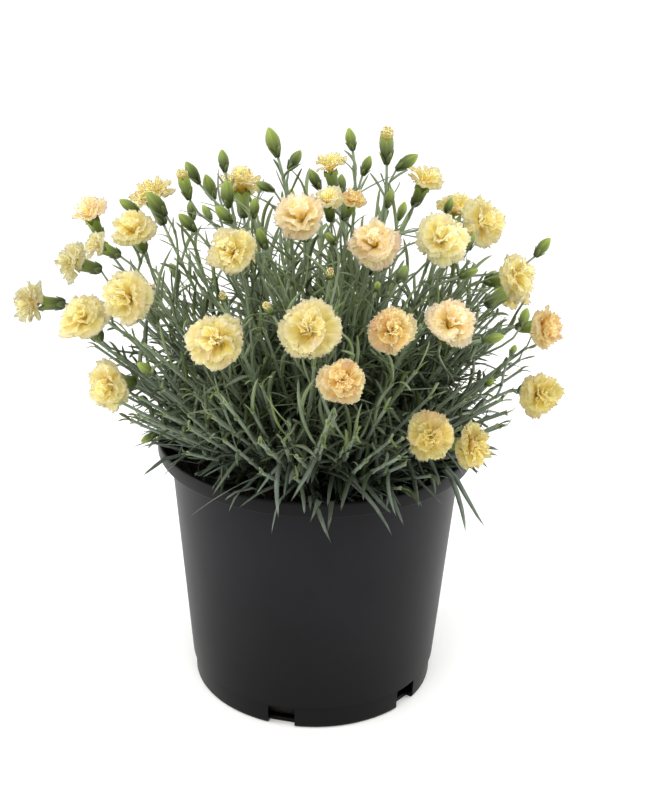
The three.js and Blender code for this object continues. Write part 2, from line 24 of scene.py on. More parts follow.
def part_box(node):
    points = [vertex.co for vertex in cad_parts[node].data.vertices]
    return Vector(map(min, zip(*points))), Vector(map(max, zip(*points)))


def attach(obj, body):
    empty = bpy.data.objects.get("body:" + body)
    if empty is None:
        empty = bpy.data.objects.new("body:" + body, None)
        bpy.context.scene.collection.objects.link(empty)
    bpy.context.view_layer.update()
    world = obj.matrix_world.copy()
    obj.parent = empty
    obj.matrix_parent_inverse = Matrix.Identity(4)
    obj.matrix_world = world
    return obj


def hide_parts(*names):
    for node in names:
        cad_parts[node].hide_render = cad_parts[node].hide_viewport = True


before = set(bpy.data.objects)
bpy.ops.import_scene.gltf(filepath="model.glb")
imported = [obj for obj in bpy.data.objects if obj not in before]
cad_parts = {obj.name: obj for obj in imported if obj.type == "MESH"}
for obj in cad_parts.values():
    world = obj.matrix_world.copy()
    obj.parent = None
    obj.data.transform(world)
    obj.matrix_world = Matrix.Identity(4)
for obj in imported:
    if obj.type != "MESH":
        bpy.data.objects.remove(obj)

bl_info = {
    "name": "Potted Dianthus",
    "version": (1, 0, 0),
    "blender": (4, 5, 0),
    "location": "View3D > Sidebar > Dianthus",
    "description": "Builds a dianthus in bloom in its nursery pot",
    "category": "Add Mesh",
}

MM = 0.001
UP = np.array([0.0, 0.0, 1.0])

_, POT_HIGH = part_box("pot")
SOIL_LOW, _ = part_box("soil")
POT_HEIGHT = POT_HIGH[2] / MM
RIM_RADIUS = POT_HIGH[0] / MM


# --- Colour and materials ---------------------------------------------------------------------------------


def linear(code):
    """The linear colour, with alpha 1, of an sRGB hex code such as "#2b2b2e"."""
    srgb = np.array([int(code[i : i + 2], 16) for i in (1, 3, 5)]) / 255
    rgb = np.where(srgb <= 0.04045, srgb / 12.92, ((srgb + 0.055) / 1.055) ** 2.4)
    return (*rgb.tolist(), 1.0)


WHITE = linear("#ffffff")


def add_node(tree, kind, inputs=None, **settings):
    """Adds one shader node. `inputs` maps the name or the place of a socket, among those in use, to a
    value, to another node's output, or to a node, which stands for its first output in use."""
    node = tree.nodes.new("ShaderNode" + kind)
    for name, value in settings.items():
        setattr(node, name, value)
    sockets = [socket for socket in node.inputs if socket.enabled]
    named = {socket.name: socket for socket in sockets}
    for key, value in (inputs or {}).items():
        socket = sockets[key] if isinstance(key, int) else named[key]
        if isinstance(value, bpy.types.Node):
            value = next(output for output in value.outputs if output.enabled)
        if isinstance(value, bpy.types.NodeSocket):
            tree.links.new(value, socket)
        else:
            socket.default_value = value
    return node


def cleared(block):
    """Gives a material or a world an empty node tree. Returns the function that adds nodes to it."""
    block.use_nodes = True
    block.node_tree.nodes.clear()
    return partial(add_node, block.node_tree)


def moulded_polypropylene(colour):
    """Black polypropylene, injection moulded. It has a soft satin gloss, a faint orange-peel skin, and a
    grey bloom of dust in patches. The dust's grey is painted fainter down the wall, as painted shade
    towards the foot, and is left off the rim's band, as painted shade from the leaves over it."""
    material = bpy.data.materials.new("moulded_polypropylene")
    add = cleared(material)
    place = add("TexCoord").outputs["Object"]
    # The patches of dust are some 70 mm across, and the skin's dimples about 1 mm.
    dust = add("TexNoise", {"Vector": place, "Scale": 14.0, "Detail": 5.0})
    peel = add("TexNoise", {"Vector": place, "Scale": 900.0, "Detail": 2.0})
    height = add("SeparateXYZ", {"Vector": place}).outputs["Z"]
    # Painted shade: the dust's grey is scaled by height, so the wall is painted darker towards the foot,
    # and the rim's band, under the leaves, is painted dark.
    wall = {"Value": height, "From Max": 0.13, "To Max": 1.6}
    under_rim = {"Value": height, "From Min": 0.176, "From Max": 0.179, "To Min": 1.0, "To Max": 0.0}
    painted_shade_by_height = add(
        "Math",
        {0: add("MapRange", wall, interpolation_type="SMOOTHSTEP"), 1: add("MapRange", under_rim)},
        operation="MULTIPLY",
    )
    dust_and_painted_shade = add("Math", {0: painted_shade_by_height, 1: dust}, operation="MULTIPLY")
    tint = add("Mix", {"Factor": dust_and_painted_shade, "A": (*colour, 1.0), "B": linear("#18181c")}, data_type="RGBA")
    gloss = add("MapRange", {"Value": dust, "To Min": 0.33, "To Max": 0.5})
    bump = add("Bump", {"Height": peel, "Strength": 0.12, "Distance": 0.0003})
    plastic = {"Base Color": tint, "Roughness": gloss, "Normal": bump, "IOR": 1.215}
    add("OutputMaterial", {"Surface": add("BsdfPrincipled", plastic)})
    return material


def potting_compost():
    """Moist peat and bark compost: nearly black where damp, with paler brown fibres, and quite matte."""
    material = bpy.data.materials.new("potting_compost")
    add = cleared(material)
    place = add("TexCoord").outputs["Object"]
    # Fibres lie some 4 mm apart, and crumbs are 2 to 3 mm across.
    fibres = add("TexNoise", {"Vector": place, "Scale": 260.0, "Detail": 8.0, "Roughness": 0.7})
    crumbs = add("TexVoronoi", {"Vector": place, "Scale": 420.0})
    damp = add(
        "Mix", {"Factor": fibres, "A": linear("#0f0b09"), "B": linear("#35261b")}, data_type="RGBA"
    )
    bump = add("Bump", {"Height": crumbs, "Strength": 0.8, "Distance": 0.0015})
    peat = add("BsdfPrincipled", {"Base Color": damp, "Roughness": 0.92, "Normal": bump})
    add("OutputMaterial", {"Surface": peat})
    return material


def waxy_leaf(colours):
    """The waxy skin of pinks' leaves and stems. A whitish bloom greys the dark green, in patches and as far
    as the shade value lets it, which on the leaves is painted light and shade; the sap shows through
    yellow-green on buds and at the nodes, and fine veins run along each leaf. The point values are fresh (0
    grey to 1 yellow-green), shade (one number for each leaf, stem and bud: a tone, times painted light and
    shade on the leaves), and along and across, in mm."""
    material = bpy.data.materials.new("waxy_leaf")
    add = cleared(material)
    deep, glaucous, sap = (linear(colours[name]) for name in ("deep", "glaucous", "fresh"))
    fresh, shade, along, across = (
        add("Attribute", attribute_name=key).outputs["Fac"]
        for key in ("fresh", "shade", "along", "across")
    )
    skin = add("CombineXYZ", {"X": across, "Y": along, "Z": shade})
    # Veins are 0.35 mm apart and run for some 8 mm, so the pattern is stretched along the leaf.
    veins = add("Mapping", {"Vector": skin, "Scale": (2.8, 0.12, 40.0)})
    lines = add("TexNoise", {"Vector": veins, "Scale": 1.0, "Detail": 2.0})
    # The wax lies in patches some 12 mm across.
    place = add("TexCoord").outputs["Object"]
    wax = add("TexNoise", {"Vector": place, "Scale": 85.0, "Detail": 4.0})
    # Painted light and shade: the shade value sets how far the whitish wax shows, so leaves are painted
    # lighter high up and out in the bush, and darker deep in it and low down.
    lit = add("Math", {0: shade, 1: wax}, operation="MULTIPLY")
    spread = add("MapRange", {"Value": lit, "From Min": 0.05, "From Max": 0.6})
    grey = add("Mix", {"Factor": spread, "A": deep, "B": glaucous}, data_type="RGBA")
    green = add("Mix", {"Factor": fresh, "A": grey, "B": sap}, data_type="RGBA")
    streaks = add("MapRange", {"Value": lines, "To Min": 0.72, "To Max": 1.22})
    streaked = add(
        "Mix", {"Factor": 1.0, "A": green, "B": streaks}, data_type="RGBA", blend_type="MULTIPLY"
    )
    bump = add("Bump", {"Height": lines, "Strength": 0.35, "Distance": 0.0002})
    leaf = {"Base Color": streaked, "Roughness": 0.5, "Normal": bump, "IOR": 1.42}
    add("OutputMaterial", {"Surface": add("BsdfPrincipled", leaf)})
    return material


def carnation_petal(name, colours):
    """A thin frilled petal, velvety and a little see-through. It deepens from a pale edge to its base,
    blushes in patches, and faint veins fan out along it. The point values are edge (0 at the base to 1
    at the rim), petal (one number for each petal), and along and across, in mm."""
    material = bpy.data.materials.new(name)
    add = cleared(material)
    base, body, blush, pale = (linear(colours[part]) for part in ("base", "body", "blush", "rim"))
    edge, petal, along, across = (
        add("Attribute", attribute_name=key).outputs["Fac"]
        for key in ("edge", "petal", "along", "across")
    )
    skin = add("CombineXYZ", {"X": across, "Y": along, "Z": petal})
    # Petal veins are about 0.8 mm apart.
    fan = add("Mapping", {"Vector": skin, "Scale": (1.2, 0.1, 60.0)})
    veins = add("TexNoise", {"Vector": fan, "Scale": 1.0, "Detail": 2.0})
    # The blush lies in patches some 14 mm across.
    place = add("TexCoord").outputs["Object"]
    patches = add("TexNoise", {"Vector": place, "Scale": 70.0, "Detail": 2.0})
    rise, rim = (
        add("MapRange", {"Value": edge, "From Min": low, "From Max": high}, interpolation_type="SMOOTHSTEP")
        for low, high in ((0.2, 0.7), (0.7, 1.0))
    )
    warm = add("MapRange", {"Value": patches, "From Min": 0.42, "From Max": 0.68})
    warmth = add("Math", {0: warm, 1: petal}, operation="MULTIPLY")
    upper = add("Mix", {"Factor": rim, "A": body, "B": pale}, data_type="RGBA")
    blushed = add("Mix", {"Factor": warmth, "A": upper, "B": blush}, data_type="RGBA")
    whole = add("Mix", {"Factor": rise, "A": base, "B": blushed}, data_type="RGBA")
    streaks = add("MapRange", {"Value": veins, "To Min": 0.84, "To Max": 1.1})
    tone = add("MapRange", {"Value": petal, "From Min": 0.2, "To Min": 1.06, "To Max": 0.92})
    varied = add("Math", {0: streaks, 1: tone}, operation="MULTIPLY")
    veined = add(
        "Mix", {"Factor": 1.0, "A": whole, "B": varied}, data_type="RGBA", blend_type="MULTIPLY"
    )
    velvet = {
        "Base Color": veined,
        "Roughness": 0.62,
        "Normal": add("Bump", {"Height": veins, "Strength": 0.25, "Distance": 0.0003}),
        "Subsurface Weight": 1.0,
        "Subsurface Radius": (1.0, 0.9, 0.6),
        "Subsurface Scale": 0.012,
        "Sheen Weight": 0.15,
    }
    add("OutputMaterial", {"Surface": add("BsdfPrincipled", velvet, subsurface_method="BURLEY")})
    return material


def studio_world(strength):
    """A white tent whose light is strongest from above and behind, and dims to a fifth of that in
    front, so that the dark pot keeps its depth. Seen past the floor's edge, it is plain white."""
    world = bpy.data.worlds.new("studio")
    add = cleared(world)
    direction = add("TexCoord").outputs["Generated"]
    up_and_back = (0.0, 0.5, 0.866)
    tilt = add("VectorMath", {0: direction, 1: up_and_back}, operation="DOT_PRODUCT")
    glow = {"From Min": -0.5, "From Max": 0.87, "To Min": 0.3 * strength, "To Max": 1.5 * strength}
    light = add("MapRange", {"Value": tilt, **glow})
    seen = add("LightPath").outputs["Is Camera Ray"]
    shown = add("Mix", {"Factor": seen, "A": light, "B": 1.0}, data_type="FLOAT")
    add("OutputWorld", {"Surface": add("Background", {"Color": WHITE, "Strength": shown})})
    return world


def lit_acrylic(colour):
    """Lit white acrylic, which hides all but the nearest of a shadow, with the faintest mottle."""
    material = bpy.data.materials.new("lit_acrylic")
    add = cleared(material)
    place = add("TexCoord").outputs["Object"]
    mottle = add("TexNoise", {"Vector": place, "Scale": 3.0})
    tint = add("Mix", {"Factor": mottle, "A": (*colour, 1.0), "B": linear("#f7f7f6")}, data_type="RGBA")
    sheet = {"Base Color": tint, "Roughness": 0.9, "Emission Color": WHITE, "Emission Strength": 0.12}
    add("OutputMaterial", {"Surface": add("BsdfPrincipled", sheet)})
    return material


# --- Surfaces ---------------------------------------------------------------------------------------------


class Surface:
    """Points in millimetres, the faces between them, and one number of each kind at every point."""

    def __init__(self, points, faces, **values):
        shape = points.shape[:-1]
        self.points = points.reshape(-1, 3)
        self.faces = faces
        self.values = {name: np.broadcast_to(v, shape).reshape(-1) for name, v in values.items()}


def joined(surfaces):
    """One surface that holds all of the given ones, unmerged."""
    counts = [len(each.points) for each in surfaces]
    starts = np.concatenate([[0], np.cumsum(counts)[:-1]])
    faces = [block + start for each, start in zip(surfaces, starts) for block in each.faces]
    names = surfaces[0].values
    values = {name: np.concatenate([each.values[name] for each in surfaces]) for name in names}
    return Surface(np.concatenate([each.points for each in surfaces]), faces, **values)


def add_object(name, data):
    """Puts a mesh, a lamp or a camera into the scene, and returns its object."""
    thing = bpy.data.objects.new(name, data)
    bpy.context.scene.collection.objects.link(thing)
    return thing


def new_mesh(name, surface):
    """A mesh, in metres, of a surface, with the surface's numbers as point attributes."""
    mesh = bpy.data.meshes.new(name)
    corners = np.concatenate([block.ravel() for block in surface.faces]).astype(np.int32)
    sizes = np.concatenate([np.full(len(block), block.shape[1]) for block in surface.faces])
    mesh.vertices.add(len(surface.points))
    mesh.vertices.foreach_set("co", (surface.points * MM).astype(np.float32).ravel())
    mesh.loops.add(len(corners))
    mesh.loops.foreach_set("vertex_index", corners)
    mesh.polygons.add(len(sizes))
    mesh.polygons.foreach_set("loop_start", (np.cumsum(sizes) - sizes).astype(np.int32))
    for kind, numbers in surface.values.items():
        attribute = mesh.attributes.new(kind, "FLOAT", "POINT")
        attribute.data.foreach_set("value", numbers.astype(np.float32))
    mesh.update(calc_edges=True)
    return mesh


def add_piece(name, surface, material, nodes=()):
    """Makes a smooth mesh object from a surface, lets it ride the plant's one body, and hides the frame's
    nodes of the given names, in whose place it stands."""
    mesh = new_mesh(name, surface)
    mesh.shade_smooth()
    mesh.materials.append(material)
    piece = add_object(name, mesh)
    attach(piece, "root")
    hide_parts(*nodes)
    return piece


def unit(vectors):
    """The directions of vectors, each of length 1."""
    return vectors / np.linalg.norm(vectors, axis=-1, keepdims=True)


def square_to(directions):
    """Two unit vectors square to each direction and to each other, turning with the right hand."""
    steep = np.abs(directions[..., 2:]) > 0.9
    hint = np.where(steep, np.array([1.0, 0.0, 0.0]), UP)
    first = unit(np.cross(hint, directions))
    return first, np.cross(directions, first)


def strand_faces(count, rings, sides):
    """The faces of `count` closed strands. Each has a pole, `rings` rings of `sides` points that run
    anticlockwise about the way it grows, and a second pole."""
    here = np.arange(sides)
    after = (here + 1) % sides
    start = 1 + sides * np.arange(rings - 1)[:, None]
    quads = np.stack([start + here, start + after, start + sides + after, start + sides + here], -1)
    top = 1 + sides * (rings - 1)
    foot = np.stack([np.zeros(sides, int), 1 + after, 1 + here], -1)
    tip = np.stack([np.full(sides, top + sides), top + here, top + after], -1)
    offset = (2 + sides * rings) * np.arange(count)[:, None, None]
    blocks = [quads.reshape(-1, 4), np.concatenate([foot, tip])]
    return [(block + offset).reshape(-1, block.shape[1]) for block in blocks]


def strands(foot, rings, tip, **values):
    """Closed strands through rings of points (strand, ring, side, xyz) between two poles. The values are
    given as (strand, ring, side) arrays or smaller, and a pole takes the mean of the ring next to it."""
    count, height, sides = rings.shape[:3]

    def with_poles(body, first, last):
        flat = body.reshape(count, height * sides, *body.shape[3:])
        return np.concatenate([first[:, None], flat, last[:, None]], axis=1)

    spread = {name: np.broadcast_to(v, rings.shape[:3]) for name, v in values.items()}
    whole = {
        name: with_poles(v, v[:, 0].mean(axis=1), v[:, -1].mean(axis=1)) for name, v in spread.items()
    }
    return Surface(with_poles(rings, foot, tip), strand_faces(count, height, sides), **whole)


def circle(sides):
    """Even angles round a circle, one for each side, in radians."""
    return 2 * np.pi * np.arange(sides) / sides


CURVE_POINTS = 96


def bow(start, leaving, end, arriving, first_pull, last_pull):
    """Dense points of the cubic curve (1-t)^3 A + 3 (1-t)^2 t B + 3 (1-t) t^2 C + t^3 D from A to D,
    whose handles B and C lie along the two directions, at shares of the distance from A to D."""
    span = np.linalg.norm(end - start)
    handles = [start, start + leaving * first_pull * span, end - arriving * last_pull * span, end]
    t = np.linspace(0, 1, CURVE_POINTS)[:, None]
    weights = [(1 - t) ** 3, 3 * (1 - t) ** 2 * t, 3 * (1 - t) * t**2, t**3]
    return sum(weight * handle for weight, handle in zip(weights, handles))


def lengths_along(path):
    """How far along a path each of its points is: the running sum of the steps between them."""
    steps = np.linalg.norm(np.diff(path, axis=0), axis=1)
    return np.concatenate([[0.0], np.cumsum(steps)])


def follow(path, distances):
    """Places and directions at distances along a path of dense points."""
    length = lengths_along(path)
    slopes = np.gradient(path, axis=0)
    places, directions = (
        np.stack([np.interp(distances, length, track[:, k]) for k in range(3)], -1)
        for track in (path, slopes)
    )
    return places, unit(directions)


# --- The plant's plan -------------------------------------------------------------------------------------

Head = namedtuple("Head", "kind tint centre size facing")


def bloom(tint, *numbers):
    return head("bloom", tint, *numbers)


def bud(*numbers):
    return head("bud", None, *numbers)


def opening(*numbers):
    return head("opening", None, *numbers)


def head(kind, tint, x, y, z, size, *aim):
    """A head's centre, its size (a bloom's width or a bud's length, in mm) and the way it faces."""
    return Head(kind, tint, np.array([x, y, z], float), size, unit(np.array(aim, float)))


# Every leafy stem with its heads. The main stem ends in the first head, and the others branch off it.
SPRAYS = {
    "left_low": [
        bloom("pale", -137, -60, 244, 36, -0.6, -0.75, 0.15),
        bud(-110, -55, 206, 12, -0.7, -0.3, -0.3),
        bud(-108, -75, 264, 14, -0.75, -0.2, 0.6),
    ],
    # Painted shade: the blooms at the left take the darker, greyer copy of the pale tint.
    "left": [
        bloom("shaded_pale", -196, 0, 279, 34, -0.95, -0.3, 0.15),
        bloom("pale", -152, -50, 291, 36, -0.4, -0.4, 0.85),
        bloom("shaded_pale", -166, -5, 311, 30, -0.85, -0.35, 0.4),
    ],
    "left_front": [
        bloom("pale", -121, -75, 312, 38, -0.45, -0.8, 0.35),
        bloom("pale", -120, -25, 342, 31, -0.2, -0.45, 0.85),
        bloom("shaded_pale", -142, -45, 336, 22, -0.7, -0.4, 0.5),
    ],
    "left_high": [
        bloom("blush", -154, 12, 340, 28, -0.3, -0.3, 0.9),
        bud(-107, -2, 350, 20, -0.6, -0.1, 0.8),
        bud(-127, 15, 343, 15, -0.8, 0, 0.5),
    ],
    "up_left": [
        bud(-64, 15, 375, 15, -0.15, 0, 1),
        bud(-85, -25, 345, 16, -0.6, -0.2, 0.7),
        bud(-74, 25, 354, 18, -0.3, 0, 0.95),
        bud(-61, -35, 354, 16, -0.6, -0.3, 0.7),
        bud(-60, -10, 360, 19, -0.05, -0.1, 1),
        opening(-88, 0, 362, 19, -0.25, 0, 0.95),
        bud(-85, 20, 365, 17, -0.5, 0, 0.85),
    ],
    "front_left": [
        bloom("pale", -60, -125, 304, 38, -0.2, -0.9, 0.35),
        bloom("pale", -54, -70, 343, 33, -0.15, -0.75, 0.6),
        opening(-57, -100, 322, 11, 0, -0.8, 0.6),
    ],
    "top_left": [
        bud(-31, 0, 392, 20, -0.3, 0, 0.95),
        bloom("blush", -12, -42, 358, 37, -0.1, -0.55, 0.8),
        bud(-36, -52, 344, 15, -0.3, -0.2, 0.9),
        bud(-42, -20, 354, 14, 0.05, -0.1, 1),
        bud(-36, -6, 364, 13, -0.85, 0, 0.4),
        bud(-17, 5, 379, 15, 0.5, 0, 0.85),
    ],
    "top": [
        bud(19, 15, 391, 15, -0.2, 0, 1),
        bloom("cream", 5, -6, 358, 22, -0.1, -0.35, 0.9),
        bloom("peach", 21, -20, 362, 20, 0.3, -0.35, 0.9),
        bloom("pale", 5, 48, 366, 26, -0.2, 0.1, 0.95),
        bud(-4, 20, 362, 15, -0.45, 0, 0.9),
        bud(30, 24, 371, 14, 0.35, 0, 1),
    ],
    "front": [
        bloom("pale", -5, -128, 314, 38, -0.05, -0.85, 0.5),
        bloom("peach", 16, -148, 289, 30, 0.15, -0.95, 0.3),
        opening(-29, -108, 318, 12, -0.3, -0.6, 0.75),
        bud(7, -65, 349, 12, -0.4, -0.5, 0.7),
        opening(7, -95, 336, 11, 0, -0.7, 0.7),
    ],
    "mid_right": [
        bloom("blush", 34, -58, 346, 34, -0.1, -0.7, 0.65),
        bloom("peach", 45, -112, 307, 32, 0.1, -0.9, 0.4),
        bud(52, -68, 328, 14, 0.3, -0.3, 0.9),
        bud(36, -86, 326, 9, 0.1, -0.5, 0.8),
    ],
    "right_high": [
        opening(42, 0, 390, 22, -0.05, 0, 1),
        bloom("cream", 78, -42, 344, 37, 0.1, -0.75, 0.6),
        bloom("pale", 70, 22, 364, 28, 0.3, -0.25, 0.9),
        bud(45, -6, 358, 13, 0.2, 0, 1),
        bud(84, 2, 351, 12, 0.3, -0.1, 1),
        bud(56, 5, 379, 17, 0.75, 0, 0.55),
    ],
    "right_upper": [
        bloom("pale", 112, 10, 338, 38, 0.65, -0.55, 0.35),
        bloom("pale", 134, -2, 304, 36, 0.8, -0.5, 0.3),
        bud(95, -50, 323, 13, 0.8, -0.2, 0.4),
        bud(151, 26, 316, 16, 0.6, 0.1, 0.8),
        opening(97, -16, 335, 18, 0, -0.3, 0.95),
    ],
    "right": [
        bloom("peach", 153, -22, 276, 32, 0.8, -0.55, 0.2),
        bloom("blush", 84, -84, 304, 36, 0.2, -0.55, 0.75),
        bud(134, -34, 288, 14, 0.2, -0.2, 1),
        bud(110, -78, 290, 14, 0.95, -0.1, 0.3),
    ],
    "right_low": [
        bloom("gold", 150, -42, 236, 32, 0.55, -0.8, 0.2),
        bloom("gold", 103, -90, 221, 32, 0.75, -0.55, 0.2),
        bloom("gold", 72, -112, 237, 34, 0.05, -0.9, 0.35),
        bud(111, -64, 254, 9, 0.5, -0.5, 0.7),
        bud(126, -52, 272, 9, 0.3, -0.3, 0.9),
    ],
    "back_left": [
        bloom("pale", -119, 62, 340, 34, -0.4, 0.3, 0.85),
        bloom("peach", -80, 128, 208, 36, -0.4, 0.9, 0.2),
        bud(-108, 116, 262, 15, -0.5, 0.6, 0.6),
        bloom("blush", -136, 80, 250, 36, -0.75, 0.6, 0.25),
        bud(-92, 88, 318, 14, -0.2, 0.5, 0.85),
    ],
    "back": [
        bloom("pale", -56, 72, 346, 36, -0.1, 0.4, 0.9),
        bloom("pale", -6, 134, 213, 34, 0, 0.95, 0.15),
        bloom("pale", -62, 122, 276, 38, -0.25, 0.85, 0.45),
        bud(-22, 104, 324, 14, 0.1, 0.6, 0.8),
        bud(-84, 122, 306, 13, -0.5, 0.5, 0.7),
    ],
    "back_right": [
        bloom("blush", 38, 116, 288, 38, 0.1, 0.75, 0.6),
        bloom("peach", 57, 133, 211, 34, 0.3, 0.9, 0.15),
        bud(58, 96, 318, 14, 0.3, 0.4, 0.85),
        bud(14, 70, 344, 15, 0, 0.3, 0.95),
    ],
    "right_back": [
        bloom("pale", 96, 68, 332, 32, 0.35, 0.35, 0.9),
        bloom("pale", 100, 108, 236, 34, 0.6, 0.8, 0.1),
        bloom("pale", 139, 70, 272, 36, 0.75, 0.5, 0.35),
        bud(124, 98, 268, 13, 0.5, 0.6, 0.6),
    ],
}

# The build of the plant: the soil's height, how far from the axis and how deep in it the stems stand,
# in mm, the depth of a bloom's mouth behind its middle as a share of its width, a calyx's length as so
# many mm and a share of its bloom's width, a bud's radius as a share of its length, and the shares of a
# main stem between which it forks.
SOIL_LEVEL = 168.0
CROWN_RADIUS = 78.0
STEM_DEPTH = 6.0
MOUTH_DEPTH = 0.28
CALYX_BASE = 8.0
CALYX_GROWTH = 0.24
BUD_RADIUS = 0.235
FORKS_FROM = 0.48
FORKS_TO = 0.88

BLOOMS = [each for heads in SPRAYS.values() for each in heads if each.kind == "bloom"]


def mouth_of(each):
    """Where a head's calyx ends: behind a bloom's middle, or at the lower end of a bud."""
    depth = MOUTH_DEPTH * each.size if each.kind == "bloom" else each.size / 2
    return each.centre - each.facing * depth


def calyx_of(each):
    """The length of the calyx under a bloom. A bud is all calyx, so it has none below its own base."""
    return CALYX_BASE + CALYX_GROWTH * each.size if each.kind == "bloom" else 0.0


def base_of(each):
    """Where a head's stem ends: the length of its calyx behind its mouth."""
    return mouth_of(each) - each.facing * calyx_of(each)


def root_of(heads):
    """Where a main stem leaves the soil: out from the pot's middle as far as its heads lean."""
    away = np.mean([base_of(each) for each in heads], axis=0) - SOIL_LEVEL * UP
    level = away * [1, 1, 0]
    lean = math.atan2(np.linalg.norm(level), away[2])
    return SOIL_LEVEL * UP + unit(level) * CROWN_RADIUS * math.sin(lean)


def limbs_of(heads):
    """The paths of a spray: its main stem, and a branch to each other head from a fork on the stem.
    Returns the paths, and the distances of the forks along the main stem."""
    tip = heads[0]
    start = root_of(heads) * [1, 1, 0] + (SOIL_LEVEL - STEM_DEPTH) * UP
    rise = unit(0.45 * UP + 0.55 * unit(base_of(tip) - start))
    main = bow(start, rise, base_of(tip), tip.facing, 0.4, 0.2)
    reach = lengths_along(main)[-1]
    steps = (np.arange(len(heads) - 1) + 0.5) / max(len(heads) - 1, 1)
    forks = reach * (FORKS_FROM + (FORKS_TO - FORKS_FROM) * steps)
    paths = [main]
    for each, fork in zip(heads[1:], forks):
        (place,), (direction,) = follow(main, np.array([fork]))
        towards = unit(base_of(each) - place)
        away = unit(towards + unit(towards - direction * (towards @ direction)) + direction)
        paths.append(bow(place, away, base_of(each), each.facing, 0.3, 0.3))
    return paths, forks


# --- Leaves, stems and buds -------------------------------------------------------------------------------

# A leaf's rows, as shares of its length, with its width there as a share of the full one: it clasps
# the stem, is widest in its middle and tapers to a long point. The outer row tells where a leaf lies.
LEAF_ROWS = np.array([0.0, 0.08, 0.2, 0.35, 0.5, 0.65, 0.8, 0.92])
LEAF_WIDTHS = np.array([0.82, 0.92, 0.98, 1.0, 1.0, 0.94, 0.78, 0.48])
OUTER_ROW = 5

# The depths of its channel and of its keel are shares of half its width. Its thickness is in mm. It is
# fresher by this much where it clasps the stem.
LEAF_KEEL = 0.16
LEAF_CHANNEL = 0.16
LEAF_THICKNESS = 0.3
CLASP_FRESHNESS = 0.12

# Leaves and stems are fresher by this much above the last of these heights, and by none below the first.
YOUNG_HEIGHTS = (200.0, 290.0)
YOUNG_FRESHNESS = 0.2

# Half the width, half the depth and the height above the soil of the dome that the heads stand on.
DOME = np.array([158.0, 142.0, 202.0])

# Painted light and shade: leaves are painted darkest deep in the bush and low down, and lighter high up.
# Their painted light at these shares of the dome's reach from its middle is multiplied by that at these
# heights, and those that hang past the rim have the last one.
SHADED_DEPTHS = (0.42, 0.82)
SHADED_LIGHT = (0.25, 1.0)
LIGHT_HEIGHTS = (175.0, 230.0, 300.0)
LIGHT_SHARES = (0.18, 0.7, 1.45)
RIM_LIGHT = 0.84

# No leaf dips below the line through the soil, at the first two of these distances from the axis, the
# rim, at the next two, both lifted by this much, and a point past the rim at this height.
DRAPE_RADII = (0.0, 93.0, 100.0, 112.5, 147.0)
DRAPE_LIFT = 2.0
DRAPE_END = 168.0

# The share of the leaves that pass over the rim, of those that would and end below this height.
SPILL_SHARE = 0.55
SPILL_HEIGHT = 214.0

# How far out the leaf tips may reach at these heights, times a number from 1.04 down to 1.04 less the
# spread. A leaf is never cut to less than the shortest share of its length.
REACH_HEIGHTS = (150.0, 190.0, 225.0, 280.0)
REACH_RADII = (148.0, 146.0, 127.0, 151.0)
SPREAD_HEIGHTS = (190.0, 235.0)
REACH_SPREADS = (0.3, 0.28)
SHORTEST_LEAF = 0.3

# How near to a bloom's middle a leaf may come, as a share of the bloom's width.
BLOOM_ROOM = 0.51


def clear_of_pot(places):
    """Lifts places off the soil and over the rim: each height is at least that of the line through
    the soil's top, the rim's inner edge, its outer edge and a point out past it and lower."""
    radius = np.hypot(places[..., 0], places[..., 1])
    soil, rim = SOIL_LEVEL + DRAPE_LIFT, POT_HEIGHT + DRAPE_LIFT
    lowest = np.interp(radius, DRAPE_RADII, (soil, soil, rim, rim, DRAPE_END))
    return np.stack([places[..., 0], places[..., 1], np.maximum(places[..., 2], lowest)], -1)


def kept_in_bush(base, ends, rng):
    """The share of its full length that each leaf may have so that its end stays within the bush."""
    first, last = (np.hypot(places[:, 0], places[:, 1]) for places in (base, ends))
    spread = np.interp(ends[:, 2], SPREAD_HEIGHTS, REACH_SPREADS)
    uneven = 1.04 - spread * rng.uniform(0, 1, len(base)) ** 0.6
    limit = np.interp(ends[:, 2], REACH_HEIGHTS, REACH_RADII) * uneven
    return np.where(last > limit, np.clip((limit - first) / (last - first + 1e-6), SHORTEST_LEAF, 1), 1)


def touches_bloom(places):
    """True for each leaf of which a place lies inside the petals of a bloom, or close in front of them."""
    hit = np.zeros(len(places), bool)
    for each in BLOOMS:
        offset = places - each.centre
        ahead = np.clip(offset @ each.facing, 0, 2 * each.size)[..., None] * each.facing
        hit |= (np.linalg.norm(offset - ahead, axis=-1) < BLOOM_ROOM * each.size).any(axis=1)
    return hit


def young(places):
    """How much fresher than the rest the leaves and stems are at these places."""
    return np.interp(places[..., 2], YOUNG_HEIGHTS, (0, YOUNG_FRESHNESS))


def light_at(places):
    """How much painted light the leaves get at these places in the bush: painted shade deep in it and low
    down, painted light high up.
    """
    depth = np.linalg.norm((places - SOIL_LEVEL * UP) / DOME, axis=1)
    from_above = np.interp(places[:, 2], LIGHT_HEIGHTS, LIGHT_SHARES)
    return np.interp(depth, SHADED_DEPTHS, SHADED_LIGHT) * from_above


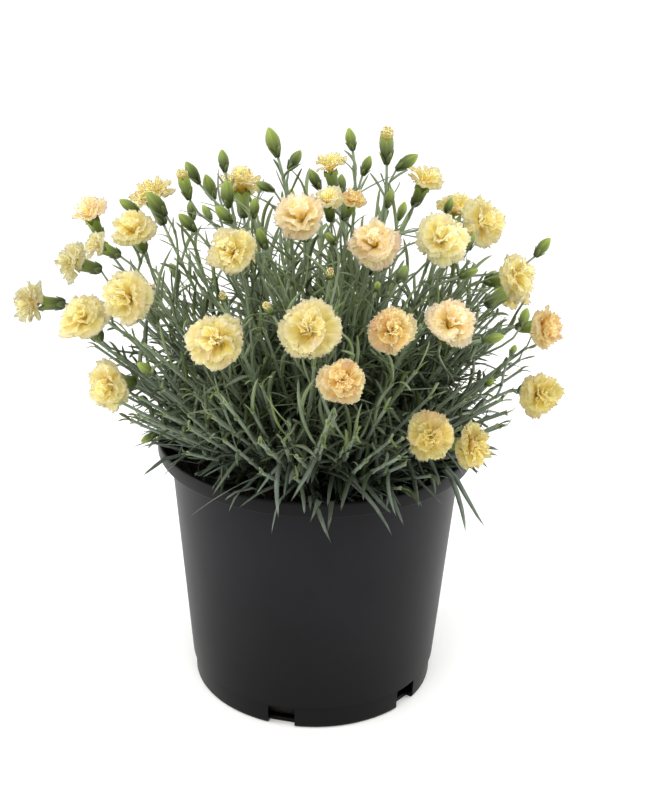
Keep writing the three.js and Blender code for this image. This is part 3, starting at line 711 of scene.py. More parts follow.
def leaves(base, heading, pull, hook, length, width, fresh, rng):
    """Keeled narrow leaves, one for each row of `base`. A leaf's middle line is
    base + length * (heading * s + pull * s^2 + hook * s^3), and each of its rings has four points: its
    two edges, the bottom of its channel and its keel. The ring rolls about the line by roll * s. Leaves
    that would touch the petals of a bloom are left out, and so are some that would hang past the rim."""
    bend = heading + pull + hook
    length = length * kept_in_bush(base, base + length[:, None] * bend, rng)
    s = LEAF_ROWS[:, None]
    shape = heading[:, None] * s + pull[:, None] * s**2 + hook[:, None] * s**3
    line = clear_of_pot(base[:, None] + length[:, None, None] * shape)
    tip = clear_of_pot(base + length[:, None] * bend)
    free = ~touches_bloom(np.concatenate([line[:, 2:], tip[:, None]], axis=1))
    past_rim = (np.hypot(tip[:, 0], tip[:, 1]) > RIM_RADIUS) & (tip[:, 2] < SPILL_HEIGHT)
    free &= ~past_rim | (rng.uniform(0, 1, len(base)) < SPILL_SHARE)
    every = (line, tip, heading, length, width, np.broadcast_to(fresh, free.shape), past_rim)
    line, tip, heading, length, width, fresh, past_rim = (value[free] for value in every)
    along = unit(np.gradient(line, axis=1))
    inner = UP - heading * heading[:, 2:]
    side = unit(np.cross(heading, inner + 1e-6))[:, None]
    side = unit(side - along * (side * along).sum(-1, keepdims=True))
    face = np.cross(side, along)
    roll = rng.normal(0, 0.5, (len(line), 1, 1)) * s
    side, face = side * np.cos(roll) + face * np.sin(roll), face * np.cos(roll) - side * np.sin(roll)
    half = 0.5 * (width[:, None] * LEAF_WIDTHS)[..., None]
    thick = LEAF_THICKNESS * (1.3 - s)
    channel = line - face * (LEAF_CHANNEL * half - thick / 2)
    keel = line - face * (LEAF_CHANNEL * half + LEAF_KEEL * half + thick / 2)
    place = line[:, OUTER_ROW]
    # Painted light and shade for each leaf by where it stands, times a random tone.
    light = np.where(past_rim, RIM_LIGHT, light_at(place)) * rng.uniform(0.2, 1.1, len(line))
    return strands(
        line[:, 0] - along[:, 0] * 0.3,
        np.stack([line + side * half, keel, line - side * half, channel], axis=2),
        tip,
        fresh=np.clip((fresh + young(place))[:, None, None] + CLASP_FRESHNESS * (1 - s) ** 6, 0, 1),
        shade=light[:, None, None],
        along=length[:, None, None] * s,
        across=half * np.array([1.0, 0.0, -1.0, 0.0]),
    )


def leaf_pairs(places, directions, turn, lean, length, width, droop, fresh, rng):
    """Opposite leaves at places on a stem, each pair a quarter turn on from the last. `lean` is each
    pair's angle from the stem, and `droop` how far a tip sags, as a share of its leaf's length."""
    first, second = square_to(directions)
    angle = turn + 0.5 * np.pi * np.arange(len(places)) + rng.normal(0, 0.35, len(places))
    out = first * np.cos(angle)[:, None] + second * np.sin(angle)[:, None]
    away = np.concatenate([out, -out])
    count = len(away)
    places, stems, lean, length, width, droop = (
        np.concatenate([value, value]) for value in (places, directions, lean, length, width, droop)
    )
    tilt = lean[:, None] + rng.normal(0, 0.14, (count, 1))
    heading = np.cos(tilt) * stems + np.sin(tilt) * away
    sag = droop[:, None] * rng.uniform(0.2, 1.6, (count, 1))
    sideways = np.cross(heading, away) * rng.normal(0, 0.22, (count, 1))
    pull = away * rng.uniform(-0.1, 0.3, (count, 1)) + sideways - UP * 0.5 * sag
    hook = away * rng.uniform(-0.15, 0.1, (count, 1)) + 0.8 * sideways - UP * 0.5 * sag
    length = length * rng.uniform(0.75, 1.15, count)
    width = width * rng.uniform(0.85, 1.15, count)
    return leaves(places + away * 0.4, heading, pull, hook, length, width, fresh, rng)


# A stem's rings are up to the ring gap apart, with three more at each node, this far from it, in mm.
STEM_SIDES = 7
RING_GAP = 9
NODE_RINGS = np.array([-2.4, 0, 2.4])
NODE_REACH = 1.6
NODE_SWELL = 0.5


def stem(path, radius, end_radius, nodes):
    """A round stem along a path: its radius narrows evenly from end to end, and swells by a share of
    itself near each node, as exp(-(d / r)^2) at distance d, where r is the node's reach."""
    reach = lengths_along(path)[-1]
    even = np.linspace(0, reach, max(int(reach / RING_GAP), 4))
    near = (nodes[:, None] + NODE_RINGS).ravel()
    distances = np.unique(np.clip(np.concatenate([even, near]), 0, reach))
    places, directions = follow(path, distances)
    swell = np.exp(-(((distances[:, None] - nodes) / NODE_REACH) ** 2)).sum(axis=1)
    wide = (radius + (end_radius - radius) * distances / reach) * (1 + NODE_SWELL * np.minimum(swell, 1))
    level = np.cross(path[-1] - path[0], UP)
    first = unit(level - directions * (directions @ level)[:, None])
    second = np.cross(directions, first)
    angle = circle(STEM_SIDES)
    out = first[:, None] * np.cos(angle)[:, None] + second[:, None] * np.sin(angle)[:, None]
    return strands(
        places[:1],
        (places[:, None] + wide[:, None, None] * out)[None],
        places[-1:],
        fresh=np.clip(0.05 + young(places) + 0.2 * swell, 0, 0.5)[None, :, None],
        shade=1.2,
        along=distances[None, :, None],
        across=(wide[:, None] * angle)[None],
    )


# How a kind of stem bears its leaves: its foot that is bare, in mm and as a share of its length, where
# its last node stands, the gaps between its lowest and its highest nodes, then the lengths, the widths
# (as shares of a full leaf's), the leans and the droops of its leaves, each as shares of the stem's
# length and the values there, then how fresh its leaves are at its foot, how much fresher at its tip,
# and whether its leaves are longer on one such stem than on another.
Habit = namedtuple("Habit", "bare last gaps lengths widths leans droops fresh uneven")
ENDS = (0, 1)
MAIN_STEM = Habit(
    bare=(10, 0),
    last=0.93,
    gaps=(9, 24),
    lengths=((0, 0.35, 0.7, 1), (60, 44, 25, 12)),
    widths=((0, 0.5, 1), (1.1, 0.85, 0.5)),
    leans=((0, 0.4, 1), (0.85, 0.6, 0.45)),
    droops=((0, 0.5, 1), (0.45, 0.22, 0.05)),
    fresh=(0.05, 0),
    uneven=False,
)
BRANCH = Habit(
    bare=(0, 0.3),
    last=0.85,
    gaps=(14, 22),
    lengths=(ENDS, (26, 9)),
    widths=(ENDS, (0.6, 0.35)),
    leans=(ENDS, (0.5, 0.5)),
    droops=(ENDS, (0.08, 0.08)),
    fresh=(0.05, 0),
    uneven=False,
)
LOW_SHOOT = Habit(
    bare=(6, 0),
    last=1,
    gaps=(7, 9),
    lengths=(ENDS, (96, 64)),
    widths=(ENDS, (1.25, 1.1)),
    leans=((0, 0.7, 1), (0.95, 0.65, 0.3)),
    droops=((0, 0.6, 1), (0.55, 0.35, 0.1)),
    fresh=(0.03, 0.06),
    uneven=True,
)
TALL_SHOOT = LOW_SHOOT._replace(
    bare=(6, 0.3), gaps=(13, 17), lengths=(ENDS, (60, 28)), widths=(ENDS, (1.0, 0.62)), fresh=(0.03, 0.2)
)


def spaced_nodes(first, last, lower_gap, upper_gap):
    """Distances from first to last whose gaps widen evenly up the stem."""
    count = max(int((last - first) / (0.5 * (lower_gap + upper_gap))), 1)
    share = np.linspace(0, 1, count)
    tilt = (upper_gap - lower_gap) / (upper_gap + lower_gap)
    return first + (last - first) * ((1 - tilt) * share + tilt * share**2)


def leafed(path, habit, radii, forks, leaf_width, rng):
    """A stem along a path, thick at its nodes and its forks, and the pairs of leaves at its nodes."""
    reach = lengths_along(path)[-1]
    foot, share_of_foot = habit.bare
    nodes = spaced_nodes(foot + share_of_foot * reach, habit.last * reach, *habit.gaps)
    share = nodes / reach
    places, directions = follow(path, nodes)
    turn = rng.uniform(0, 6)
    vigour = rng.uniform(0.85, 1.2) if habit.uneven else 1
    length = vigour * np.interp(share, *habit.lengths)
    width = leaf_width / MM * np.interp(share, *habit.widths)
    lean, droop = np.interp(share, *habit.leans), np.interp(share, *habit.droops)
    fresh = habit.fresh[0] + habit.fresh[1] * np.concatenate([share, share]) ** 6
    return [
        stem(path, *radii, np.concatenate([nodes, forks])),
        leaf_pairs(places, directions, turn, lean, length, width, droop, fresh, rng),
    ]


# Outlines of the green of a head as (share of its length, share of its radius where it is widest).
OUTLINES = {
    "bud": [(0, 0.32), (0.08, 0.46), (0.2, 0.68), (0.34, 0.88), (0.48, 0.99), (0.6, 0.98), (0.72, 0.84)]
    + [(0.83, 0.62), (0.92, 0.38), (0.97, 0.2)],
    "bloom": [(0, 0.5), (0.05, 0.68), (0.15, 0.8), (0.35, 0.88), (0.6, 0.95), (0.85, 1.02), (1.0, 1.08)]
    + [(1.18, 1.2)],
    "opening": [(0, 0.3), (0.08, 0.42), (0.2, 0.6), (0.35, 0.78), (0.52, 0.9), (0.66, 0.9), (0.74, 0.86)]
    + [(0.86, 0.84)],
}
CALYX_SIDES = 20
CALYX_TEETH = 5
CALYX_RADIUS = 2.0
CALYX_WIDENING = 0.08


def husk_of(each):
    """The length of the green of a head, and its radius where it is widest. A bud is green all over."""
    if each.kind == "bloom":
        return calyx_of(each), CALYX_RADIUS + CALYX_WIDENING * each.size
    return each.size, BUD_RADIUS * each.size


def spokes(axis, angle):
    """Unit vectors square to an axis, at these angles about it."""
    u, v = square_to(axis)
    return u * np.cos(angle)[..., None] + v * np.sin(angle)[..., None]


def calyx(each, rng):
    """The green cup of one head, ribbed where its five teeth join. A ring's radius is the outline's
    times 1 + 0.08 s cos(5 a), and on an open cup the last two rings rise and fall as five teeth."""
    closed = each.kind == "bud"
    length, radius = husk_of(each)
    outline = np.array(OUTLINES[each.kind])
    share, wide = outline[:, :1], outline[:, 1:]
    angle = circle(CALYX_SIDES)
    ridge = np.cos(CALYX_TEETH * angle)
    seams = np.maximum(ridge, 0) ** 4 * share
    tooth = 1 - np.abs((angle * CALYX_TEETH / np.pi) % 2 - 1)
    notch = np.zeros_like(share) if closed else np.maximum(share - outline[-3, 0], 0)
    up = length * (share - 0.9 * notch * (1 - tooth))
    out = radius * wide * (1 + 0.08 * ridge * share)
    base = base_of(each)
    end = base + each.facing * length * (1.0 if closed else 0.75)
    return strands(
        (base - each.facing)[None],
        (base + up[..., None] * each.facing + out[..., None] * spokes(each.facing, angle))[None],
        end[None],
        fresh=np.clip(0.1 + 0.8 * share**1.8 + 0.35 * seams + rng.uniform(-0.2, 0.16), 0, 1)[None],
        shade=rng.uniform(0.0, 0.3),
        along=up[None],
        across=(radius * wide * angle)[None],
    )


def bracts(each, rng):
    """Four pointed scales round the base of a calyx. Each is a leaf wrapped on it: at share s of its
    length it spans the angle 0.75 (1 - s^2) to either side, just proud of the calyx."""
    in_flower = each.kind == "bloom"
    whole, widest = husk_of(each)
    length = (0.45 if in_flower else 0.42) * whole
    outline = np.array(OUTLINES["bloom" if in_flower else "bud"])
    s = np.array([0.0, 0.3, 0.6, 0.85])
    radius = widest * np.interp(s * length / whole, outline[:, 0], outline[:, 1])
    turns = 0.5 * np.pi * np.arange(4) + rng.uniform(0, 1.5)
    wrap = np.array([1.0, 0.0, -1.0, 0.0]) * 0.75
    angle = turns[:, None, None] + wrap * (1 - s[:, None] ** 2)
    proud = radius[:, None] + np.array([0.1, 0.55, 0.1, -0.15]) + 0.5 * s[:, None] ** 3
    base = base_of(each) - each.facing * 0.4
    out = spokes(each.facing, turns)
    return strands(
        base + radius[0] * out,
        base + (s * length)[:, None, None] * each.facing + proud[..., None] * spokes(each.facing, angle),
        base + length * each.facing + (radius[-1] + 0.9) * out,
        fresh=0.12 + 0.6 * s[:, None] ** 2,
        shade=0.15,
        along=length * s[:, None],
        across=2.0,
    )


# The radii of a stem at its foot and its end, as shares of the main stem's at the soil, and of a shoot's
# stem in mm.
MAIN_RADII = (1, 0.78)
BRANCH_RADII = (0.76, 0.64)
SHOOT_RADII = (1.45, 0.95)


def leafy_stem(heads, settings, rng):
    """One spray: its stems, their leaves, and the calyx and bracts of each head."""
    paths, forks = limbs_of(heads)
    radius = settings.stem_width / MM / 2
    surfaces = []
    for path, each in zip(paths, heads):
        main = each is heads[0]
        radii = [radius * share for share in (MAIN_RADII if main else BRANCH_RADII)]
        habit, joints = (MAIN_STEM, forks) if main else (BRANCH, [])
        surfaces += leafed(path, habit, radii, joints, settings.leaf_width, rng)
        surfaces += [calyx(each, rng), bracts(each, rng)]
    return joined(surfaces)


# A stand of leafy shoots: how many stand in the pot and how far from its axis, their height, how far
# they lean at the rim, how unevenly, and how they bear their leaves.
Stand = namedtuple("Stand", "count spread height lean sway habit")
LOW_SHOOTS = Stand(56, 60, (14, 46), 1.2, 0.4, LOW_SHOOT)
TALL_SHOOTS = Stand(268, 68, (100, 205), 0.84, 0.12, TALL_SHOOT)

# The turn from one seed to the next in a sunflower's head, in radians.
SUNFLOWER_TURN = 2.39996

# The shoots end inside a cone that opens upwards: its radius at the soil, and how much it widens for
# each millimetre above.
SKIRT_RADIUS = 100.0
SKIRT_SLOPE = 0.6


def leafy_shoots(stand, settings, rng):
    """Shoots without flowers. They stand on the soil by a sunflower spiral (radius R sqrt(i / n), turn
    2.4 i), lean out more the nearer they are to the rim, and end below the heads, inside the cone and
    short of the first bloom in their way."""
    count = stand.count
    order = np.arange(count) + 0.5
    share = np.sqrt(order / count)
    turn = SUNFLOWER_TURN * order + rng.normal(0, 0.2, count)
    outward = np.stack([np.cos(turn), np.sin(turn), np.zeros(count)], -1)
    distance = stand.spread * share * rng.uniform(0.9, 1.0, count)
    start = outward * distance[:, None] + (SOIL_LEVEL - 3) * UP
    lean = np.minimum(0.08 + stand.lean * share**1.2 + rng.normal(0, 0.1, count), stand.lean)
    sway = rng.normal(0, stand.sway, (count, 3)) * [1, 1, 0]
    heading = unit(UP * np.cos(lean)[:, None] + outward * np.sin(lean)[:, None] + sway)
    room = rng.uniform(0.7, 0.97, count) / np.linalg.norm(heading / DOME, axis=1)
    height = np.minimum(rng.uniform(*stand.height, count), room - 0.6 * stand.spread * share * np.sin(lean))
    steep = np.maximum(np.hypot(heading[:, 0], heading[:, 1]) - SKIRT_SLOPE * heading[:, 2], 0.01)
    height = np.minimum(height, (SKIRT_RADIUS - stand.spread * share) / steep)
    surfaces = []
    for place, direction, out, tall in zip(start, heading, outward, height):
        end = place + direction * tall - UP * 0.04 * tall
        rise = unit(direction + 0.35 * UP)
        path = clear_of_pot(bow(place, rise, end, unit(direction + 0.15 * out), 0.35, 0.3))
        blocked = touches_bloom(path[:, None])
        path = path[: np.argmax(blocked)] if blocked.any() else path
        surfaces.append(joined(leafed(path, stand.habit, SHOOT_RADII, [], settings.leaf_width, rng)))
    return surfaces


# --- Petals -----------------------------------------------------------------------------------------------

# Whorls of petals from the outside in. Reach, height and arch are shares of the bloom's radius: the
# petal's middle line is the quadratic curve from its claw over the arch to (reach, height). Fan is
# half the angle that a petal spans, and ruffle how far its rim waves.
Whorl = namedtuple("Whorl", "petals reach height arch_out arch_up fan ruffle columns")
OPEN_WHORLS = (
    Whorl(6, 1.0, 0.2, 0.5, 0.5, 0.8, 0.07, 23),
    Whorl(5, 0.95, 0.46, 0.46, 0.58, 0.88, 0.09, 23),
    Whorl(5, 0.74, 0.7, 0.34, 0.68, 0.8, 0.13, 19),
    Whorl(3, 0.42, 0.9, 0.14, 0.74, 1.0, 0.13, 17),
    Whorl(4, 0.22, 0.96, 0.06, 0.7, 1.1, 0.12, 13),
)
SMALL_WHORLS = (
    Whorl(5, 1.0, 0.5, 0.42, 0.62, 0.85, 0.09, 21),
    Whorl(4, 0.72, 0.84, 0.28, 0.74, 0.95, 0.12, 19),
    Whorl(3, 0.3, 0.96, 0.08, 0.76, 1.25, 0.1, 15),
)
FURLED_WHORLS = (
    Whorl(5, 0.8, 1.75, 0.85, 1.0, 0.9, 0.05, 11),
    Whorl(4, 0.45, 2.1, 0.4, 1.2, 1.1, 0.06, 11),
)

# A bloom at least this wide, in mm, is fully open.
OPEN_WIDTH = 30

# The thickness is in mm. The rest are shares of the bloom's radius.
PETAL_ROWS = np.array([0.0, 0.22, 0.42, 0.6, 0.75, 0.87, 0.95, 1.0])
PETAL_THICKNESS = 0.35
CLAW_RADIUS = 0.03
TOOTH_DEPTH = 0.045
FRILL = 0.055
TWIST = 0.09
WHORL_LEAN = 0.06


def sheet_faces(count, rows, columns):
    """The faces of `count` thin closed sheets. Each has a grid of points for its upper side, and then
    the inner points of its lower side, which shares the upper side's border."""
    upper = np.arange(rows * columns).reshape(rows, columns)
    lower = upper.copy()
    inner = (rows - 2) * (columns - 2)
    lower[1:-1, 1:-1] = rows * columns + np.arange(inner).reshape(rows - 2, columns - 2)

    def quads(grid):
        corners = [grid[:-1, :-1], grid[1:, :-1], grid[1:, 1:], grid[:-1, 1:]]
        return np.stack(corners, -1).reshape(-1, 4)

    faces = np.concatenate([quads(upper), quads(lower)[:, ::-1]])
    offset = (rows * columns + inner) * np.arange(count)[:, None, None]
    return [(faces + offset).reshape(-1, 4)]


def sheets(upper, thickness, **values):
    """Thin closed sheets below grids of points (sheet, row, column, xyz): the inner points are repeated
    one thickness down along the normal. The values are given as (sheet, row, column) or smaller."""
    count, rows, columns = upper.shape[:3]
    normal = unit(np.cross(np.gradient(upper, axis=1), np.gradient(upper, axis=2)))

    def both_sides(above, below):
        rest = above.shape[3:]
        inner = below[:, 1:-1, 1:-1].reshape(count, -1, *rest)
        return np.concatenate([above.reshape(count, -1, *rest), inner], axis=1)

    spread = {name: np.broadcast_to(v, upper.shape[:3]) for name, v in values.items()}
    whole = {name: both_sides(v, v) for name, v in spread.items()}
    points = both_sides(upper, upper - thickness * normal)
    return Surface(points, sheet_faces(count, rows, columns), **whole)


def whorl_petals(whorl, each, rng):
    """One whorl of frilled petals round a bloom's axis. At share s along a petal and t across it (-1 to
    1) the middle line gives the distance from the axis and the height, and the petal turns by
    fan t (0.3 + 0.7 s^0.6) + 0.05 sin(7 s + g) about the axis. Its corners draw back by 0.2 t^2 s, its
    rim is cut in teeth, and it is lifted along its normal by
    ruffle s^1.6 (sin(a t + b) + 0.45 sin(c t + d)) + frill s^3 sin(e t + f) + twist t s. The whole
    whorl leans to one side."""
    radius = each.size / 2
    count, columns = whorl.petals, whorl.columns
    s = PETAL_ROWS[None, :, None]
    t = np.linspace(-1, 1, columns)[None, None, :]

    def draw(low, high):
        return rng.uniform(low, high, (count, 1, 1))

    reach, height = whorl.reach * draw(0.76, 1.0), whorl.height + draw(-0.16, 0.08)
    out = 2 * s * (1 - s) * whorl.arch_out + s**2 * reach + CLAW_RADIUS
    up = 2 * s * (1 - s) * whorl.arch_up + s**2 * height
    slope_out = 2 * (1 - 2 * s) * whorl.arch_out + 2 * s * reach
    slope_up = 2 * (1 - 2 * s) * whorl.arch_up + 2 * s * height
    steep = np.hypot(slope_out, slope_up)
    wave = np.sin(draw(1.8, 3.6) * t + draw(0, 6.3)) + 0.45 * np.sin(draw(5.0, 8.0) * t + draw(0, 6.3))
    frill = FRILL * s**3 * np.sin(draw(12, 19) * t + draw(0, 6.3))
    lift = whorl.ruffle * s**1.6 * wave + frill + TWIST * t * s
    jags = np.where(np.arange(columns) % 2, 1.0, -1.0) * rng.uniform(-0.3, 1.4, (count, 1, columns))
    teeth = TOOTH_DEPTH * jags * (s == 1)
    out = out * (1 - 0.2 * t**2 * s + teeth) - lift * slope_up / steep
    up = up * (1 + teeth) + lift * slope_out / steep
    turn = 2 * np.pi * (np.arange(count)[:, None, None] + draw(-0.25, 0.25)) / count
    angle = turn + whorl.fan * t * (0.3 + 0.7 * s**0.6) + 0.05 * np.sin(7 * s + turn * 3)
    u, v = square_to(each.facing)
    out, up = out * radius, up * radius
    lean_u, lean_v = s * rng.normal(0, WHORL_LEAN, (2, 1, 1, 1)) * radius
    places = (
        mouth_of(each)
        + (out * np.cos(angle) + lean_u)[..., None] * u
        + (out * np.sin(angle) + lean_v)[..., None] * v
        + up[..., None] * each.facing
    )
    values = {"edge": s, "petal": draw(0.2, 1.0), "along": s * radius, "across": t * whorl.fan * radius}
    return sheets(places, PETAL_THICKNESS, **values)


def bloom_surface(each, rng):
    """All the petals of one bloom."""
    whorls = OPEN_WHORLS if each.size >= OPEN_WIDTH else SMALL_WHORLS
    return joined([whorl_petals(whorl, each, rng) for whorl in whorls])


def furled_petals(each, rng):
    """The ragged tips of the petals that an opening bud still holds rolled: a narrow bloom, a little
    wider than the bud, from its middle up."""
    size = 2.1 * BUD_RADIUS * each.size
    middle = base_of(each) + each.facing * (0.55 * each.size + MOUTH_DEPTH * size)
    rolled = Head("bloom", each.tint, middle, size, each.facing)
    return joined([whorl_petals(whorl, rolled, rng) for whorl in FURLED_WHORLS])


# --- Pot and soil -----------------------------------------------------------------------------------------

# The height of the rim's band and of the foot, the thickness of the wall and of the base, the outer
# radii of the wall and of the foot, and the radii of the rounded edges, all in mm.
RIM_BAND = 10.5
FOOT_HEIGHT = 17.0
WALL = 2.6
BASE = 3.0
WALL_TOP_RADIUS = 101.0
WALL_BOTTOM_RADIUS = 86.5
LEDGE_RADIUS = WALL_BOTTOM_RADIUS + 1.0
FOOT_RADIUS = 85.5
FOOT_ROUNDING = 2.5
RIM_ROUNDING = 1.2
POT_SIDES = 160

# The base's flat sides have a ring of points at this radius, which keeps their faces from being slivers.
FLAT_RADIUS = 40

# The drain notches stand at these bearings, in degrees anticlockwise from the front, and are cut this
# deep to either side of the foot's skin.
DRAIN_BEARINGS = (-86, -14, 51, 124, 196)
DRAIN_WIDTH = 19.0
DRAIN_HEIGHT = 15.0
DRAIN_DEPTH = 6.0


def turned(profile, sides):
    """A closed body of revolution about Z through (radius, height) points. It runs from a pole on the
    axis at the first height, round the outside, to a pole on the axis at the last height."""
    radius, height = np.array(profile, float).T[..., None]
    angle = circle(sides)
    rings = np.stack([radius * np.cos(angle), radius * np.sin(angle), height + 0 * angle], -1)
    poles = [[0, 0, 1]] * height[[0, -1]]
    return strands(poles[:1], rings[None], poles[1:])


def rounded(corner, radius, start, sweep, steps=4):
    """Profile points on an arc of a circle round `corner`, from the angle `start` through `sweep`,
    both in degrees."""
    angle = np.radians(start + sweep * np.linspace(0, 1, steps + 1))
    return [(corner[0] + radius * np.cos(a), corner[1] + radius * np.sin(a)) for a in angle]


def pot_profile():
    """The pot's section from the middle of its base, up the outside, over the rim and down inside. The
    foot ends in a fine groove below the wall's ledge, and the wall leans out evenly to the rim's band."""
    step, under = FOOT_HEIGHT, POT_HEIGHT - RIM_BAND
    inside_top, inside_bottom = WALL_TOP_RADIUS - WALL, WALL_BOTTOM_RADIUS - WALL
    start = LEDGE_RADIUS + 0.1
    rise = np.linspace(0.02, 1, 12)
    lip = RIM_RADIUS - RIM_ROUNDING
    return [
        (FLAT_RADIUS, 0),
        *rounded((FOOT_RADIUS - FOOT_ROUNDING, FOOT_ROUNDING), FOOT_ROUNDING, -90, 90),
        (FOOT_RADIUS + 0.5, step - 0.9),
        (FOOT_RADIUS + 0.1, step - 0.4),
        (FOOT_RADIUS + 0.3, step + 0.2),
        (LEDGE_RADIUS, step + 0.3),
        *zip(start + (WALL_TOP_RADIUS - start) * rise, step + 1 + (under - step - 2) * rise),
        *rounded((lip, under + 1.0), 1.0, -90, 80),
        (RIM_RADIUS, POT_HEIGHT - 2),
        *rounded((lip, POT_HEIGHT - RIM_ROUNDING), RIM_ROUNDING, 0, 150),
        (lip - 2, POT_HEIGHT - 4),
        (inside_top + 1, under - 1),
        (inside_top, under - 5),
        (inside_bottom, BASE + 1),
        (inside_bottom - 1, BASE),
        (FLAT_RADIUS, BASE),
    ]


def notch_cutter():
    """The boxes that the square drain notches are cut with, each turned to its bearing about the pot."""
    corners = np.array([[x, y, z] for z in (-1, 1) for y in (-1, 1) for x in (-1, 1)], float)
    size = np.array([DRAIN_WIDTH / 2, DRAIN_DEPTH, DRAIN_HEIGHT])
    box = np.array([[0, 2, 3, 1], [4, 5, 7, 6], [0, 1, 5, 4], [2, 6, 7, 3], [0, 4, 6, 2], [1, 3, 7, 5]])
    boxes = []
    for bearing in np.radians(DRAIN_BEARINGS):
        c, s = math.cos(bearing), math.sin(bearing)
        turn = np.array([[c, s, 0], [-s, c, 0], [0, 0, 1]])
        boxes.append(Surface((corners * size - [0, FOOT_RADIUS, 0]) @ turn, [box]))
    return joined(boxes)


def cut_notches(pot):
    """Cuts the drain notches through the foot with a Boolean, and drops the cutter."""
    cutter = add_object("notches", new_mesh("notches", notch_cutter()))
    cut = pot.modifiers.new("notches", "BOOLEAN")
    cut.object, cut.operation, cut.solver = cutter, "DIFFERENCE", "EXACT"
    view = bpy.context.evaluated_depsgraph_get()
    finished = bpy.data.meshes.new_from_object(pot.evaluated_get(view))
    pot.modifiers.remove(cut)
    pot.data = finished
    bpy.data.objects.remove(cutter)


# The soil stands clear of the pot's wall by the gap, and further behind the drain notches.
SOIL_GAP = 0.6
SOIL_SETBACK = 8.0
SOIL_SIDES = 96

# The soil's relief is a sum of waves. Each turns by twice its pitch, in radians, for each millimetre, and
# rises by the relief, in mm, over 1 + 6 times its pitch.
RELIEF_PITCHES = (0.05, 0.08, 0.13, 0.21, 0.34, 0.55)
RELIEF = 1.3

# How far from the axis the crumbs lie, and their smallest and largest radius, in mm.
CRUMB_SPREAD = 94.0
CRUMB_SIZES = (0.7, 2.3)


def soil_surface(rng):
    """The compost: a plug that fills the pot, and is set back from the drain notches. Its top has
    hollows and lumps, as the sum of six sine waves that run in random directions."""
    low, high = SOIL_LOW[2] / MM, SOIL_LEVEL
    slope = (WALL_TOP_RADIUS - WALL_BOTTOM_RADIUS) / (POT_HEIGHT - RIM_BAND - 4 - BASE)
    bottom = WALL_BOTTOM_RADIUS - WALL - SOIL_GAP
    top = bottom + slope * (high - BASE)
    foot = [(bottom - SOIL_SETBACK, low), (bottom - 6, low + 14), (bottom + slope * 18, 23)]
    shares = np.linspace(1, 0.03, 26)
    surface = turned(foot + [(top, high - 2)] + [(top * share, high) for share in shares], SOIL_SIDES)
    x, y, z = surface.points.T
    relief = np.zeros(len(x))
    for pitch in RELIEF_PITCHES:
        bearing = rng.uniform(0, 2 * np.pi)
        distance = x * np.cos(bearing) + y * np.sin(bearing)
        wave = np.sin(pitch * 2 * distance + rng.uniform(0, 6))
        relief += wave / (1 + 6 * pitch)
    surface.points[:, 2] = np.where(z > high - 1, z + RELIEF * relief - 1, z)
    return surface


def soil_crumbs(count, rng):
    """Crumbs of bark and peat on the compost: small uneven lumps of two rings of five points."""
    radius = CRUMB_SPREAD * np.sqrt(rng.uniform(0, 1, count))
    turn = rng.uniform(0, 2 * np.pi, count)
    size = rng.uniform(*CRUMB_SIZES, count)
    middle = np.stack([radius * np.cos(turn), radius * np.sin(turn), SOIL_LEVEL + 0.35 * size], -1)
    axis = unit(rng.normal(0, 1, (count, 3)))
    out = spokes(axis[:, None, None], circle(5))
    heights = np.array([-0.4, 0.4])[:, None, None]
    stretch = rng.uniform(0.6, 1.0, (count, 2, 5, 1))
    lumps = out * stretch + axis[:, None, None] * heights
    ends = axis * (0.75 * size)[:, None]
    rings = middle[:, None, None] + size[:, None, None, None] * lumps
    return strands(middle - ends, rings, middle + ends)


# --- Settings ---------------------------------------------------------------------------------------------


class DianthusPotSettings(bpy.types.PropertyGroup):
    colour: FloatVectorProperty(
        name="Colour",
        description="Colour of the moulded pot",
        default=linear("#070708")[:3],
        subtype="COLOR",
        min=0,
        max=1,
    )
    crumbs: IntProperty(
        name="Crumbs", description="How many crumbs of bark lie on the compost", default=700, min=1
    )


class DianthusPlantSettings(bpy.types.PropertyGroup):
    leaf_width: FloatProperty(
        name="Leaf Width",
        description="Width of a full-grown leaf at its widest",
        default=0.0038,
        min=0.001,
        unit="LENGTH",
    )
    stem_width: FloatProperty(
        name="Stem Width",
        description="Thickness of a flowering stem where it leaves the soil",
        default=0.0024,
        min=0.001,
        unit="LENGTH",
    )
    seed: IntProperty(name="Seed", description="Seed of the plant's random draws", default=7, min=0)


class DianthusStudioSettings(bpy.types.PropertyGroup):
    paper: FloatVectorProperty(
        name="Paper",
        description="Colour of the floor",
        default=linear("#f4f4f3")[:3],
        subtype="COLOR",
        min=0,
        max=1,
    )
    skylight: FloatProperty(
        name="Skylight", description="Strength of the white tent's light", default=0.8, min=0
    )
    lens: FloatProperty(
        name="Lens",
        description="Focal length of the camera for a 36 mm wide sensor",
        default=72.5,
        min=1,
        unit="CAMERA",
    )
    roll: FloatProperty(
        name="Roll",
        description="How far the camera is turned about its line of sight",
        default=math.radians(1.1),
        subtype="ANGLE",
    )


# --- Operators --------------------------------------------------------------------------------------------

# The camera's place, the point that it looks at and the width of its sensor, in mm.
CAMERA_PLACE = (5.5, -1006.1, 658.0)
CAMERA_TARGET = (5.5, 0.0, 213.4)
SENSOR_WIDTH = 36.0

# In metres: half the floor's width, and how near and how far the camera sees.
FLOOR_HALF = 40.0
CLIP_START, CLIP_END = 0.05, 120.0

# Soft lights as (place in mm, width in mm, power in W, colour).
LIGHTS = {
    "key_light": ((-120, -900, 1700), 1000, 14.0, "#fffdf8"),
    "left_strip": ((-1300, -60, 500), 800, 10.5, "#ffffff"),
    "right_strip": ((1300, 20, 500), 700, 9.0, "#ffffff"),
}

